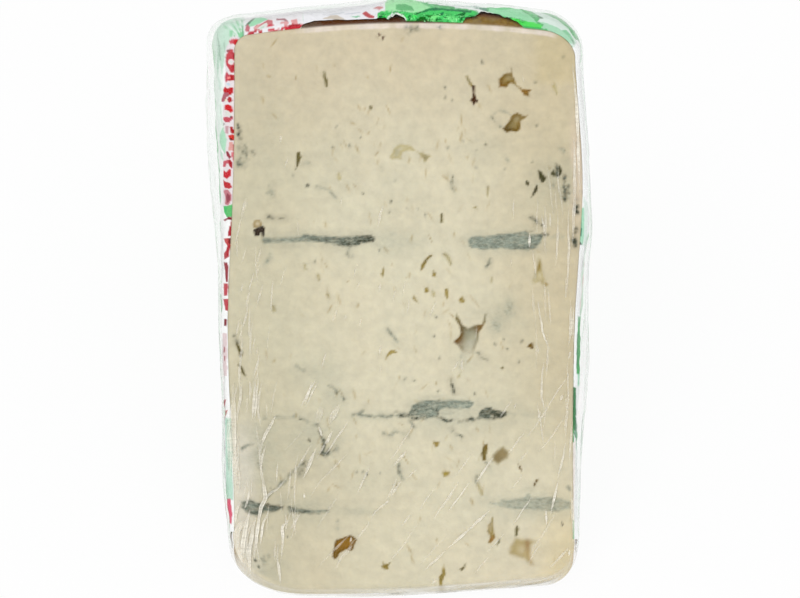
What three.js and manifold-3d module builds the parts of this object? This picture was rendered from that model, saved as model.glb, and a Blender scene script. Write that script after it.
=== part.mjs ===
// A wedge of blue cheese, cut from a foil-wrapped half wheel and wrapped in clear film.
// Units are millimetres and +Z is up. The wedge lies on its rear cut face. Its tip, where the
// wheel's axis ran, points along -Y, the heel along +Y, and the wheel's two flat sides are -X and +X.
//
// Every surface is placed in the wheel's own coordinates: how far across the wheel (x), how far from
// its axis (radius) and how far round from the rear cut face (turn).

import * as THREE from 'three';
import { mergeVertices } from 'three/addons/utils/BufferGeometryUtils.js';
import Module from 'manifold-3d';

// ---------------------------------------------------------------- driving dimensions

const WEDGE_ANGLE = THREE.MathUtils.degToRad(45); // an eighth of the half wheel
const TIP_RADIUS = 5; // the soft point is rounded off here, from the wheel's axis
const FACE_LENGTH = 148; // tip to heel along a cut face
const FACE_WIDTH = 88.4; // between the wheel's flat sides
const EDGE_ROUND = 1.4; // rounding of the cut faces' rims

// Corners of a cut face: reach along the side and along the end.
const CORNER = {
  leftHeel: { across: 3.6, along: 3.8 },
  rightHeel: { across: 8, along: 6.5 },
  rightTip: { across: 7.5, along: 9 },
  leftTip: { across: 18, along: 14 },
};

// The soft paste swells between its cut faces, where the film doesn't pinch it.
const SWELL = { left: 4.2, heel: 5.8, right: 0.8 }; // at the heel, on each side of the wheel
const SWELL_REACH = 7; // depth over which the swelling comes up

// Bellies of the left and right edges of a cut face: how far out, where and how long.
const LEFT_BELLY = { out: 1.8, at: 70, reach: 32 };
const RIGHT_BELLY = { out: 2.4, at: 106, reach: 28 };
const HEEL_CROWN = { bend: 0.0017, lean: 0.008 };
const TIP_CURVE = { bend: 0.0009, lowest: -22, rise: 1 };

const FILM_THICKNESS = 0.3;
const FOIL_THICKNESS = 0.35;
const GAP = 0.45; // between the cheese, the foil and the film
const CRUMPLE = 0.3; // half height of the wrinkles in the foil

const CHEESE_FLOOR = FILM_THICKNESS + GAP; // height of the rear cut face

// ---------------------------------------------------------------- outline of a cut face

const HALF_WIDTH = FACE_WIDTH / 2;
const HEEL_RADIUS = TIP_RADIUS + FACE_LENGTH;

/** A bell of height 1 at 0, which has fallen to about a third at 1. */
const bell = (t) => Math.exp(-t * t);

/** The plain rounded rectangle, clockwise from the tip end of the left side. */
function roundedRectangle() {
  const points = [];
  const straight = (fromX, fromUp, toX, toUp, steps) => {
    for (let i = 0; i < steps; i += 1) {
      const t = i / steps;
      points.push({ x: fromX + (toX - fromX) * t, up: fromUp + (toUp - fromUp) * t });
    }
  };
  const arc = (centreX, centreUp, corner, startTurn, steps) => {
    for (let i = 0; i < steps; i += 1) {
      const turn = startTurn - (Math.PI / 2) * (i / steps);
      points.push({
        x: centreX + corner.across * Math.cos(turn),
        up: centreUp + corner.along * Math.sin(turn),
      });
    }
  };
  const { leftHeel, rightHeel, rightTip, leftTip } = CORNER;
  const L = FACE_LENGTH;
  const W = HALF_WIDTH;
  straight(-W, leftTip.along, -W, L - leftHeel.along, 12);
  arc(-W + leftHeel.across, L - leftHeel.along, leftHeel, Math.PI, 3);
  straight(-W + leftHeel.across, L, W - rightHeel.across, L, 9);
  arc(W - rightHeel.across, L - rightHeel.along, rightHeel, Math.PI / 2, 4);
  straight(W, L - rightHeel.along, W, rightTip.along, 12);
  arc(W - rightTip.across, rightTip.along, rightTip, 0, 4);
  straight(W - rightTip.across, 0, -W + leftTip.across, 0, 7);
  arc(-W + leftTip.across, leftTip.along, leftTip, -Math.PI / 2, 5);
  return points;
}

/** Bends the rectangle's sides: a belly on the left and right, a crown at the heel, a wave at the tip. */
function bend({ x, up }) {
  const side = x / HALF_WIDTH;
  const belly = side < 0 ? LEFT_BELLY : RIGHT_BELLY;
  const t = up / FACE_LENGTH;
  const crown = HEEL_CROWN.lean * x - HEEL_CROWN.bend * x * x;
  const tip = TIP_CURVE.rise + TIP_CURVE.bend * (x - TIP_CURVE.lowest) ** 2;
  return {
    x: x + side * belly.out * bell((up - belly.at) / belly.reach),
    up: up + t * crown + (1 - t) * tip,
  };
}

const outline = roundedRectangle().map(bend);
const COUNT = outline.length;
outline.forEach((point, i) => {
  const before = outline[(i + COUNT - 1) % COUNT];
  const after = outline[(i + 1) % COUNT];
  const length = Math.hypot(after.x - before.x, after.up - before.up);
  point.outX = -(after.up - before.up) / length;
  point.outUp = (after.x - before.x) / length;
});

// ---------------------------------------------------------------- the wedge's skin

/** A place in the wheel, as a point of the part: x across, up from the tip, turn from the floor. */
function place(x, up, turn) {
  const radius = up + TIP_RADIUS;
  return new THREE.Vector3(x, radius * Math.cos(turn), CHEESE_FLOOR + radius * Math.sin(turn));
}

/** How much the flank swells at an outline point: the flat sides more where the wedge is thicker. */
function swelling({ up, outX, outUp }) {
  const thick = ((up + TIP_RADIUS) / HEEL_RADIUS) ** 2;
  const side = (outX < 0 ? SWELL.left : SWELL.right) * thick;
  return side * outX * outX + SWELL.heel * Math.max(outUp, 0) ** 2;
}

/** Thickness of the wedge at an outline point, measured round the wheel. */
const thickness = (point) => (point.up + TIP_RADIUS) * WEDGE_ANGLE;

/** Flank of the wedge, at a depth under the front cut face. */
function flank(point, depth) {
  const whole = thickness(point);
  const fromRim = Math.min(depth, whole - depth);
  const round = Math.min(EDGE_ROUND, whole / 2);
  const under = Math.max(round - fromRim, 0);
  const inset = round - Math.sqrt(round * round - under * under);
  const rise = (1 - Math.exp(-depth / SWELL_REACH)) * (1 - Math.exp(-(whole - depth) / SWELL_REACH));
  const out = swelling(point) * rise - inset;
  const turn = WEDGE_ANGLE * (1 - depth / whole);
  return place(point.x + point.outX * out, point.up + point.outUp * out, turn);
}

// Rings round the flank, by their nominal depth under the nearer cut face.
const RING_DEPTHS = [0, 0.5, 1.4, 5, 14, 40, 110];

/** Depths of all rings at an outline point: close to the rims, and wider apart between them. */
function ringDepths(point) {
  const half = thickness(point) / 2;
  const near = RING_DEPTHS.map((depth) => (depth * half) / (depth + half));
  return [...near, half, ...near.map((depth) => 2 * half - depth).reverse()];
}

const RINGS = 2 * RING_DEPTHS.length + 1;
const FRONT_NORMAL = new THREE.Vector3(0, -Math.sin(WEDGE_ANGLE), Math.cos(WEDGE_ANGLE));
const REAR_NORMAL = new THREE.Vector3(0, 0, -1);

/** Outward normal of the flank at an outline point and a depth, from small steps both ways. */
function flankNormal(index, depth) {
  const point = outline[index];
  const whole = thickness(point);
  if (depth < 1e-6) return FRONT_NORMAL.clone();
  if (depth > whole - 1e-6) return REAR_NORMAL.clone();
  const before = outline[(index + COUNT - 1) % COUNT];
  const after = outline[(index + 1) % COUNT];
  const share = depth / whole;
  const along = flank(after, share * thickness(after)).sub(flank(before, share * thickness(before)));
  const step = Math.min(0.2, depth, whole - depth);
  const inwards = flank(point, depth + step).sub(flank(point, depth - step));
  return along.cross(inwards).normalize();
}

/** Point over the flank, lifted off it by a height. */
function lifted(index, depth, height) {
  return flank(outline[index], depth).addScaledVector(flankNormal(index, depth), height);
}

// Triangles that close a cut face, anticlockwise from outside the front.
const capFaces = THREE.ShapeUtils.triangulateShape(
  outline.map(({ x, up }) => new THREE.Vector2(x, up)),
  [],
).map(([a, b, c]) => {
  const [p, q, r] = [outline[a], outline[b], outline[c]];
  const area = (q.x - p.x) * (r.up - p.up) - (q.up - p.up) * (r.x - p.x);
  return area > 0 ? [a, b, c] : [a, c, b];
});

// ---------------------------------------------------------------- mesh building

/** Collects points and triangles of one closed body. */
class Body {
  constructor() {
    this.points = [];
    this.faces = [];
  }

  add(points) {
    const start = this.points.length;
    this.points.push(...points);
    return points.map((_, i) => start + i);
  }

  /** A strip of two triangles a step between two rows of points, facing left of the first row. */
  strip(row, next, closed) {
    const steps = closed ? row.length : row.length - 1;
    for (let i = 0; i < steps; i += 1) {
      const j = (i + 1) % row.length;
      this.faces.push([row[i], row[j], next[j]], [row[i], next[j], next[i]]);
    }
  }

  cap(ring, faces, flipped) {
    faces.forEach(([a, b, c]) => {
      this.faces.push(flipped ? [ring[a], ring[c], ring[b]] : [ring[a], ring[b], ring[c]]);
    });
  }

  geometry() {
    const geometry = new THREE.BufferGeometry();
    const numbers = this.points.flatMap((point) => point.toArray());
    geometry.setAttribute('position', new THREE.Float32BufferAttribute(numbers, 3));
    geometry.setIndex(this.faces.flat());
    return geometry;
  }
}

const wasm = await Module();
wasm.setup();

/** A closed geometry as a solid that can be cut. */
function toSolid(geometry) {
  const bare = geometry.clone();
  bare.deleteAttribute('normal');
  bare.deleteAttribute('uv');
  const merged = mergeVertices(bare, 1e-5);
  return new wasm.Manifold(
    new wasm.Mesh({
      numProp: 3,
      vertProperties: new Float32Array(merged.attributes.position.array),
      triVerts: new Uint32Array(merged.index.array),
    }),
  );
}

/** A cut solid as a geometry again. */
function toGeometry(solid) {
  const mesh = solid.getMesh();
  const geometry = new THREE.BufferGeometry();
  geometry.setAttribute('position', new THREE.Float32BufferAttribute(mesh.vertProperties, 3));
  geometry.setIndex(Array.from(mesh.triVerts));
  return geometry;
}

// ---------------------------------------------------------------- the cheese

/** The whole wedge, before its eyes. */
function wedgeGeometry() {
  const body = new Body();
  const rings = [];
  for (let ring = 0; ring < RINGS; ring += 1) {
    rings.push(body.add(outline.map((point) => flank(point, ringDepths(point)[ring]))));
  }
  body.cap(rings[0], capFaces, false);
  for (let ring = 1; ring < RINGS; ring += 1) body.strip(rings[ring - 1], rings[ring], true);
  body.cap(rings[RINGS - 1], capFaces, true);
  return body.geometry();
}

/** The frame of a cut face: origin at a place on it, then across, up to the heel, and out of it. */
function faceFrame(isFront, x, up) {
  const turn = isFront ? WEDGE_ANGLE : 0;
  const across = new THREE.Vector3(isFront ? 1 : -1, 0, 0);
  const upwards = new THREE.Vector3(0, Math.cos(turn), Math.sin(turn));
  const out = isFront ? FRONT_NORMAL : REAR_NORMAL;
  return new THREE.Matrix4().makeBasis(across, upwards, out).setPosition(place(x, up, turn));
}

/** An egg-shaped hollow in a cut face: middle, width, height, lean in degrees and depth. */
function hollow([x, up, width, height, lean, depth], isFront = true) {
  const egg = new THREE.IcosahedronGeometry(1, 1);
  egg.scale(width / 2, height / 2, depth);
  egg.rotateZ(THREE.MathUtils.degToRad(lean));
  egg.applyMatrix4(faceFrame(isFront, x, up));
  return toSolid(egg);
}

// Eyes and cracks of the front cut face: middle across and up from the tip, width, height,
// lean to the left and depth. A large eye is several hollows that meet.
const EYES = [
  [26.9, 133.0, 4.6, 3.4, -20, 2.6], // two-lobed eye by the heel
  [27.6, 134.8, 1.2, 3.6, 0, 1.6],
  [31.0, 130.4, 4.2, 1.8, -35, 1.8],
  [17.3, 130.4, 1.3, 7.4, 14, 2.4],
  [27.8, 121.6, 5.0, 4.0, 15, 2.8],
  [23.8, 123.0, 3.4, 0.9, -15, 1.2],
  [-20.4, 133.0, 0.9, 3.6, 0, 1.6],
  [-27.4, 112.3, 1.1, 4.1, -8, 1.8],
  [-37.8, 94.2, 3.1, 3.6, 0, 2.2],
  [-1.2, 114.6, 5.2, 2.6, 40, 1.6], // arch
  [3.4, 114.4, 5.2, 2.2, -30, 1.6],
  [35.4, 108.4, 1.7, 3.2, 0, 2.2],
  [33.8, 104.3, 0.9, 2.8, 25, 1.6],
  [21.7, 104.5, 0.9, 4.1, 0, 1.8],
  [5.2, 85.6, 1.3, 4.3, -25, 1.8],
  [10.9, 86.6, 2.0, 4.6, 15, 1.6],
  [34.4, 84.4, 1.8, 3.0, 0, 1.8],
  [21.7, 85.6, 0.9, 2.6, 0, 1.4],
  [16.0, 66.8, 5.6, 6.4, 0, 3.6], // the largest, with a spike at each corner
  [14.2, 70.4, 1.8, 5.0, 20, 2.0],
  [20.0, 70.6, 1.6, 5.4, -38, 2.0],
  [19.6, 62.8, 1.5, 5.2, 35, 1.8],
  [15.4, 62.8, 1.4, 3.6, 0, 1.8],
  [-3.6, 66.2, 1.6, 4.4, 42, 1.6], // hook
  [-3.4, 62.2, 1.4, 4.0, -35, 1.6],
  [12.8, 53.4, 0.9, 3.6, 8, 1.8],
  [21.0, 36.5, 1.6, 4.1, 0, 2.2],
  [25.1, 36.2, 4.6, 4.4, 10, 2.6],
  [19.7, 27.4, 1.6, 3.6, -10, 1.8],
  [34.1, 29.0, 1.8, 2.4, 20, 1.4],
  [-15.5, 12.8, 5.8, 4.6, 20, 3.2], // bright eye by the tip
  [-14.2, 11.4, 2.6, 4.4, -30, 2.4],
  [-4.9, 7.2, 2.6, 2.4, 0, 1.6],
  [22.5, 16.7, 2.0, 6.4, 0, 2.2],
  [30.4, 11.4, 7.4, 5.0, 25, 1.8],
  [28.8, 15.4, 1.8, 4.0, 10, 1.6],
  [10.1, 5.3, 1.6, 4.6, 0, 2.0],
  [15.5, 6.9, 1.3, 2.2, 0, 1.4],
];

// Mould-lined channels of the piercing needles, cut lengthwise, as shallow grooves.
const CHANNELS = [
  [-23.5, 91.6, 32, 2.2, 1, 0.5],
  [31.0, 91.6, 29, 3.6, 0, 0.7],
  [9.5, 48.2, 17, 3.0, 0, 0.7],
  [23.2, 46.6, 7.4, 2.8, 0, 0.7],
  [-32.0, 22.6, 22, 3.0, -4, 0.7],
  [34.0, 23.4, 22, 3.2, 0, 0.6],
];

const REAR_EYES = 14;
const REAR_SEED = 71;

/** Repeatable draws between 0 and 1. */
function drawer(seed) {
  let state = seed;
  return () => {
    state = (Math.imul(state, 1664525) + 1013904223) >>> 0;
    return state / 2 ** 32;
  };
}

/** Eyes of the rear cut face, drawn in the sizes of those in front and kept off the rim. */
function rearEyes() {
  const draw = drawer(REAR_SEED);
  const rim = 9;
  return Array.from({ length: REAR_EYES }, (_, i) => {
    const width = 1.2 + 4 * draw() ** 2;
    return [
      (draw() - 0.5) * (FACE_WIDTH - 2 * rim),
      rim + ((i + 0.2 + 0.6 * draw()) / REAR_EYES) * (FACE_LENGTH - 2 * rim),
      width,
      width * (0.8 + 1.2 * draw()),
      (draw() - 0.5) * 90,
      1.2 + 0.4 * width,
    ];
  });
}

function cheese() {
  const cuts = [
    ...EYES.map((eye) => hollow(eye)),
    ...CHANNELS.map((channel) => hollow(channel)),
    ...rearEyes().map((eye) => hollow(eye, false)),
  ];
  const solid = cuts.reduce((body, cut) => body.subtract(cut), toSolid(wedgeGeometry()));
  const material = new THREE.MeshStandardMaterial({ color: 0xd9d1b3, roughness: 0.55 });
  return new THREE.Mesh(toGeometry(solid), material);
}

// ---------------------------------------------------------------- the foil

/** Wrinkle height at an outline point and a ring, from waves that don't repeat together. */
function crumple(index, ring) {
  const waves = Math.sin(index * 1.9 + ring * 0.7) + Math.sin(index * 0.83 - ring * 1.6 + 1.1);
  return CRUMPLE * (1 + 0.5 * waves);
}

// The foil runs up the left side, over the heel and down the right side.
const FOIL_LEFT_END = 16; // above the tip
const FOIL_RIGHT_END = 14;
const FOIL_EDGE = 0.9; // how far its cut edge lies behind the front rim at least
const RIND_SHOWS = [
  { x: -18, up: FACE_LENGTH, back: 2.6, reach: 9 }, // bare rind over the heel, left of the middle
  { x: 24, up: FACE_LENGTH, back: 2.4, reach: 7 },
  { x: HALF_WIDTH, up: 122, back: 3.2, reach: 16 }, // and down the right side
  { x: HALF_WIDTH, up: 80, back: 2.6, reach: 8 },
];

/** Depth of the foil's ragged front edge at an outline point. */
function foilEdge(point) {
  const bare = RIND_SHOWS.map(
    ({ x, up, back, reach }) => back * bell(Math.hypot(point.x - x, point.up - up) / reach),
  );
  return FOIL_EDGE + Math.max(...bare);
}

const foilIndexes = outline
  .map((point, index) => ({ point, index }))
  .filter(({ point }) => point.up > (point.x < 0 ? FOIL_LEFT_END : FOIL_RIGHT_END))
  .map(({ index }) => index);

const FOIL_FIRST_RING = 3; // the first ring behind the ragged edge
const FOIL_LAST_RING = RINGS - 3; // the foil stops short of the floor

/** Rows of the foil at a height over the cheese, from the ragged front edge to the rear. */
function foilRows(height) {
  const rows = [];
  rows.push(foilIndexes.map((i) => lifted(i, foilEdge(outline[i]), height + crumple(i, 0))));
  for (let ring = FOIL_FIRST_RING; ring <= FOIL_LAST_RING; ring += 1) {
    rows.push(
      foilIndexes.map((i) => lifted(i, ringDepths(outline[i])[ring], height + crumple(i, ring))),
    );
  }
  return rows;
}

function foilWrap() {
  const body = new Body();
  const outer = foilRows(GAP + FOIL_THICKNESS).map((row) => body.add(row));
  const inner = foilRows(GAP).map((row) => body.add(row));
  const last = outer.length - 1;
  for (let row = 1; row <= last; row += 1) {
    body.strip(outer[row - 1], outer[row], false);
    body.strip(inner[row], inner[row - 1], false);
  }
  body.strip(inner[0], outer[0], false);
  body.strip(outer[last], inner[last], false);
  const end = foilIndexes.length - 1;
  body.strip(outer.map((row) => row[0]), inner.map((row) => row[0]), false);
  body.strip(inner.map((row) => row[end]), outer.map((row) => row[end]), false);
  const material = new THREE.MeshStandardMaterial({ color: 0x45b35f, roughness: 0.4, metalness: 0.3 });
  return new THREE.Mesh(body.geometry(), material);
}

// ---------------------------------------------------------------- the film

// The film stands off in a crumpled fold along the left side, over the heel and on the right.
const FILM_FOLDS = [
  { x: -HALF_WIDTH, up: 124, out: 2.4, reach: 30 },
  { x: -HALF_WIDTH, up: FACE_LENGTH, out: 2.6, reach: 12 },
  { x: 0, up: FACE_LENGTH, out: 1, reach: 34 },
  { x: HALF_WIDTH, up: 66, out: 2.2, reach: 26 },
];
const FILM_OPENING = 0.4; // the gathered opening underneath, as a share of the face

/** Clear height of the film's inner face over the cheese, at an outline point and a ring. */
function filmHeight(index, ring) {
  const point = outline[index];
  const overFoil = GAP + FOIL_THICKNESS + 2 * CRUMPLE;
  const folds = FILM_FOLDS.map(
    ({ x, up, out, reach }) => out * bell(Math.hypot(point.x - x, point.up - up) / reach),
  );
  const middle = Math.sin((Math.PI * Math.min(ring, RINGS - 1 - ring)) / (RINGS - 1));
  const onFace = ring === 0 || ring === RINGS - 1;
  return GAP + (onFace ? 0 : overFoil) + middle * Math.max(...folds);
}

/** Moves a point back to a plane parallel to a cut face, if it lies further out than that. */
function pullToPanel(point, normal, height) {
  const onFace = place(0, 0, normal === FRONT_NORMAL ? WEDGE_ANGLE : 0);
  const over = point.clone().sub(onFace).dot(normal) - height;
  return over > 0 ? point.addScaledVector(normal, -over) : point;
}

/** Rings of the film, from the front panel to the underside, at an extra height over its inner face. */
function filmRings(extra) {
  const rings = [];
  for (let ring = 0; ring < RINGS; ring += 1) {
    const row = outline.map((point, i) => {
      const free = lifted(i, ringDepths(point)[ring], filmHeight(i, ring) + extra);
      pullToPanel(free, FRONT_NORMAL, GAP + extra);
      return pullToPanel(free, REAR_NORMAL, GAP + extra);
    });
    rings.push(row);
  }
  const underside = rings[RINGS - 1];
  const middle = underside.reduce((sum, point) => sum.add(point), new THREE.Vector3());
  middle.divideScalar(COUNT);
  rings.push(underside.map((point) => middle.clone().lerp(point, FILM_OPENING)));
  return rings;
}

function clingFilm() {
  const body = new Body();
  const outer = filmRings(FILM_THICKNESS).map((ring) => body.add(ring));
  const inner = filmRings(0).map((ring) => body.add(ring));
  body.cap(outer[0], capFaces, false);
  body.cap(inner[0], capFaces, true);
  for (let ring = 1; ring < outer.length; ring += 1) {
    body.strip(outer[ring - 1], outer[ring], true);
    body.strip(inner[ring], inner[ring - 1], true);
  }
  body.strip(outer[outer.length - 1], inner[inner.length - 1], true);
  const material = new THREE.MeshStandardMaterial({
    color: 0xf4f7f6,
    roughness: 0.15,
    transparent: true,
    opacity: 0.2,
  });
  return new THREE.Mesh(body.geometry(), material);
}

// ---------------------------------------------------------------- the part

const part = new THREE.Group();
const pieces = { cheese: cheese(), foil_wrap: foilWrap(), cling_film: clingFilm() };
Object.entries(pieces).forEach(([name, mesh]) => {
  mesh.name = name;
  part.add(mesh);
});

// The origin is under the middle of the part, on the surface it lies on.
const box = new THREE.Box3().setFromObject(part);
const middle = box.getCenter(new THREE.Vector3());
part.children.forEach((mesh) => mesh.position.set(-middle.x, -middle.y, -box.min.z));

export default part;
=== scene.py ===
import math

import bpy
import numpy as np
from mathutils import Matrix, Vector


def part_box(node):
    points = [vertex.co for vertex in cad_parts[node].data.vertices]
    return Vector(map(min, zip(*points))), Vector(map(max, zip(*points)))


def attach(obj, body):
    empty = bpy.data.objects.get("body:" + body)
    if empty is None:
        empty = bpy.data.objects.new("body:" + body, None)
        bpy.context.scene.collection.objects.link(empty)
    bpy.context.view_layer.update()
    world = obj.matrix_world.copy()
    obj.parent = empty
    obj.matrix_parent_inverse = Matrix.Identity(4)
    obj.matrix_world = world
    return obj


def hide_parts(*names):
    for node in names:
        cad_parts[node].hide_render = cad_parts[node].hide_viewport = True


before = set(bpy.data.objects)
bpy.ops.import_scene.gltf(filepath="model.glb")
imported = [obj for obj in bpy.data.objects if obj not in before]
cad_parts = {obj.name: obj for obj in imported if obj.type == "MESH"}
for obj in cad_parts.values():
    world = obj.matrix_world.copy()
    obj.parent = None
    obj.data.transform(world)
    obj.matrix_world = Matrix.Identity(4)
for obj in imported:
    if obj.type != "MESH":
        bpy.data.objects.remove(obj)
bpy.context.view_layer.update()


# ---------------------------------------------------------------- the cheese
# A wedge of soft blue cheese: half a wheel, cut level, was cut again from its axis to its rind.
# The ivory paste lies on one cut face. Mould grew green-blue along the holes of the piercing
# needles and in the slits between the curds, and the brown rind is left on three sides.

# The form. Lengths are millimetres. A point is told by how far across the wheel it lies, how
# far up from the wedge's tip, and how far round the wheel's axis from the rear cut face.
WEDGE_ANGLE = math.radians(45)
TIP_RADIUS = 5.0  # the soft point is rounded off here, from the wheel's axis
FACE_LENGTH = 148.0
HALF_WIDTH = 44.2
EDGE_ROUND = 1.4
CORNERS = (  # sides that meet in a corner, and the corner's reach across and along
    (-1, -1, 18.0, 14.0),
    (-1, 1, 3.6, 3.8),
    (1, 1, 8.0, 6.5),
    (1, -1, 7.5, 9.0),
)
SWELL_LEFT, SWELL_HEEL, SWELL_RIGHT = 4.2, 5.8, 0.8  # between the cut faces, at the heel
SWELL_REACH = 7.0  # how soon the swell rises behind a cut face
LEFT_BELLY = (1.8, 70.0, 32.0)  # how far out, where, how long
RIGHT_BELLY = (2.4, 106.0, 28.0)
HEEL_BEND, HEEL_LEAN = 0.0017, 0.008  # the heel falls off to both sides, and rises to the right
TIP_BEND, TIP_LOWEST, TIP_RISE = 0.0009, -22.0, 1.0  # its edge is lowest at the second

FACE_CELLS = (210, 351)  # across and along, 0.4 mm each
FACE_SPAN = 84  # millimetres that the cells cover across
COARSER = 3  # the flank's and the rear face's cells are this many times as wide
RIM_DEPTHS = (0.2, 0.5, 0.9)  # rings of the flank behind a cut face, then those further behind
FLANK_DEPTHS = (1.4, 2.4, 3.8, 6.0, 9.5, 15.0, 26.0, 50.0, 110.0)

# Colours, as red, green and blue of 255.
PASTE, SLIT = (214, 207, 180), (176, 150, 88)
MOULD_PALE, MOULD_DARK = (158, 168, 152), (52, 56, 34)
RIND_LEFT, RIND_RIGHT, CRUST = (198, 178, 142), (206, 178, 150), (92, 60, 38)
HEEL_DARK, HEEL_PALE, HEEL_RED = (76, 38, 8), (142, 116, 58), (102, 46, 12)

OUT_OF_FACE = np.array((0, -math.sin(WEDGE_ANGLE), math.cos(WEDGE_ANGLE)))
DOWN = np.array((0, 0, -1))  # out of the rear cut face


def smooth(value, low, high):
    """Rises from 0 at low to 1 at high, level at both ends."""
    t = np.clip((np.asarray(value, float) - low) / (high - low), 0, 1)
    return t * t * (3 - 2 * t)


def bell(value):
    """A bell of height 1 at 0."""
    return np.exp(-np.square(value))


def mix(first, second, share):
    """Between two colours, or rows of colours, by a share for each point."""
    return first + (second - first) * np.asarray(share)[:, None]


def lengths(path):
    """Length along a path from its first point to each point."""
    return np.concatenate(([0], np.cumsum(np.hypot(*np.diff(path, axis=0).T))))


def cloud(x, y, size, seed):
    """Soft random field from -1 to 1: seeded heights on a square lattice of that cell size, blended
    between the four nearest by a smooth step."""
    wide, high = 97, 89
    table = np.random.default_rng(seed).uniform(-1, 1, (wide, high))
    u, v = np.asarray(x) / size, np.asarray(y) / size
    i, j = np.floor(u).astype(int), np.floor(v).astype(int)
    s, t = smooth(u - i, 0, 1), smooth(v - j, 0, 1)
    near = table[i % wide, j % high] * (1 - s) + table[(i + 1) % wide, j % high] * s
    far = table[i % wide, (j + 1) % high] * (1 - s) + table[(i + 1) % wide, (j + 1) % high] * s
    return near * (1 - t) + far * t


def clouds(x, y, size, seed):
    """Three clouds, each half as wide and half as strong as the last."""
    return sum(cloud(x, y, size / 2**k, seed + k) / 2**k for k in range(3)) / 1.75


def rim_points(cells_across, cells_along):
    """Rim of a cut face, clockwise from the middle of its left tip corner: columns across, up, and
    the outward direction. Quarter ellipses and straight sides, cut into equal steps from corner to
    corner, then bent by a belly on each side, a crown at the heel and a slow wave at the tip."""
    half_arc = 30
    arcs = []
    for side, end, across, along in CORNERS:
        middle = math.atan2(end, side)
        turn = middle + np.linspace(math.pi / 4, -math.pi / 4, 2 * half_arc + 1)
        x = side * (HALF_WIDTH - across) + across * np.cos(turn)
        up = (1 + end) / 2 * FACE_LENGTH - end * along + along * np.sin(turn)
        arcs.append(np.stack((x, up), -1))
    sides = []
    for i, cells in enumerate((cells_along, cells_across, cells_along, cells_across)):
        path = np.concatenate((arcs[i][half_arc:], arcs[(i + 1) % 4][:half_arc + 1]))
        gone = lengths(path)
        steps = np.linspace(0, gone[-1], cells + 1)[:-1]
        sides.append(np.stack([np.interp(steps, gone, path[:, k]) for k in (0, 1)], -1))
    x, up = np.concatenate(sides).T
    out, at, reach = np.where(x < 0, np.array(LEFT_BELLY)[:, None], np.array(RIGHT_BELLY)[:, None])
    share = up / FACE_LENGTH
    crown = HEEL_LEAN * x - HEEL_BEND * x * x
    tip = TIP_RISE + TIP_BEND * (x - TIP_LOWEST) ** 2
    x = x + x / HALF_WIDTH * out * bell((up - at) / reach)
    up = up + share * crown + (1 - share) * tip
    run = np.stack((np.roll(x, -1) - np.roll(x, 1), np.roll(up, -1) - np.roll(up, 1)), -1)
    run /= np.linalg.norm(run, axis=1, keepdims=True)
    return np.stack((x, up, -run[:, 1], run[:, 0]), -1)


def place(across, up, turn):
    """A point in the wheel: its distance from the wheel's axis, turned up from the rear cut face."""
    radius = np.asarray(up) + TIP_RADIUS
    return np.stack(np.broadcast_arrays(across, radius * np.cos(turn), radius * np.sin(turn)), -1)


def thickness(rim):
    """Length of the flank from cut face to cut face, round the wheel."""
    return (rim[:, 1] + TIP_RADIUS) * WEDGE_ANGLE


def flank(rim, depth):
    """The wedge's flank at a depth behind the front cut face: the rim, drawn in by a quarter circle
    next to each cut face and swollen between them, the sides most at the thick heel."""
    whole = thickness(rim)
    from_rim = np.minimum(depth, whole - depth)
    radius = np.minimum(EDGE_ROUND, whole / 2)
    under = np.maximum(radius - from_rim, 0)
    inset = radius - np.sqrt(np.maximum(radius**2 - under**2, 0))
    thick = ((rim[:, 1] + TIP_RADIUS) / (FACE_LENGTH + TIP_RADIUS)) ** 2
    side = np.where(rim[:, 2] < 0, SWELL_LEFT, SWELL_RIGHT) * thick
    swell = side * rim[:, 2] ** 2 + SWELL_HEEL * np.maximum(rim[:, 3], 0) ** 2
    rise = (1 - np.exp(-depth / SWELL_REACH)) * (1 - np.exp(-(whole - depth) / SWELL_REACH))
    out = swell * rise - inset
    turn = WEDGE_ANGLE * (1 - depth / whole)
    return place(rim[:, 0] + rim[:, 2] * out, rim[:, 1] + rim[:, 3] * out, turn)


def nominal(rim, depth):
    """A depth of the list as a depth at each point of the rim, squeezed where the wedge is thin."""
    half = thickness(rim) / 2
    return depth * half / (depth + half)


def flank_rows(rim, depths, closed=True):
    """One row of flank points for each row of depths, and the outward directions there."""
    rows = np.stack([flank(rim, depth) for depth in depths])
    if closed:
        along = np.roll(rows, -1, 1) - np.roll(rows, 1, 1)
    else:
        along = np.gradient(rows, axis=1)
    directions = np.cross(along, np.gradient(rows, axis=0))
    directions /= np.maximum(np.linalg.norm(directions, axis=2, keepdims=True), 1e-9)
    return rows, directions


def fill_rim(ring, cells_across, cells_along):
    """Fills a rim with a grid of points, [along][across], by a Coons patch: the sum of two blends
    between opposite sides, less the blend between the four corners."""
    a, b = cells_across, cells_along
    left, heel = ring[:b + 1], ring[b:a + b + 1]
    right = ring[a + b:a + 2 * b + 1][::-1]
    tip = np.concatenate((ring[a + 2 * b:], ring[:1]))[::-1]
    s = np.linspace(0, 1, a + 1)[None, :, None]
    t = np.linspace(0, 1, b + 1)[:, None, None]
    sides = (1 - s) * left[:, None] + s * right[:, None] + (1 - t) * tip[None] + t * heel[None]
    corners = ((1 - t) * ((1 - s) * left[0] + s * right[0])
               + t * ((1 - s) * left[-1] + s * right[-1]))
    return sides - corners


def grid_numbers(start, cells_across, cells_along):
    """Numbers of a grid's points, [along][across]."""
    count = (cells_along + 1) * (cells_across + 1)
    return start + np.arange(count).reshape(cells_along + 1, cells_across + 1)


def grid_ring(numbers):
    """Numbers of a grid's outer points, in the order of the rim."""
    return np.concatenate((numbers[:-1, 0], numbers[-1, :-1], numbers[:0:-1, -1], numbers[0, :0:-1]))


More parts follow.
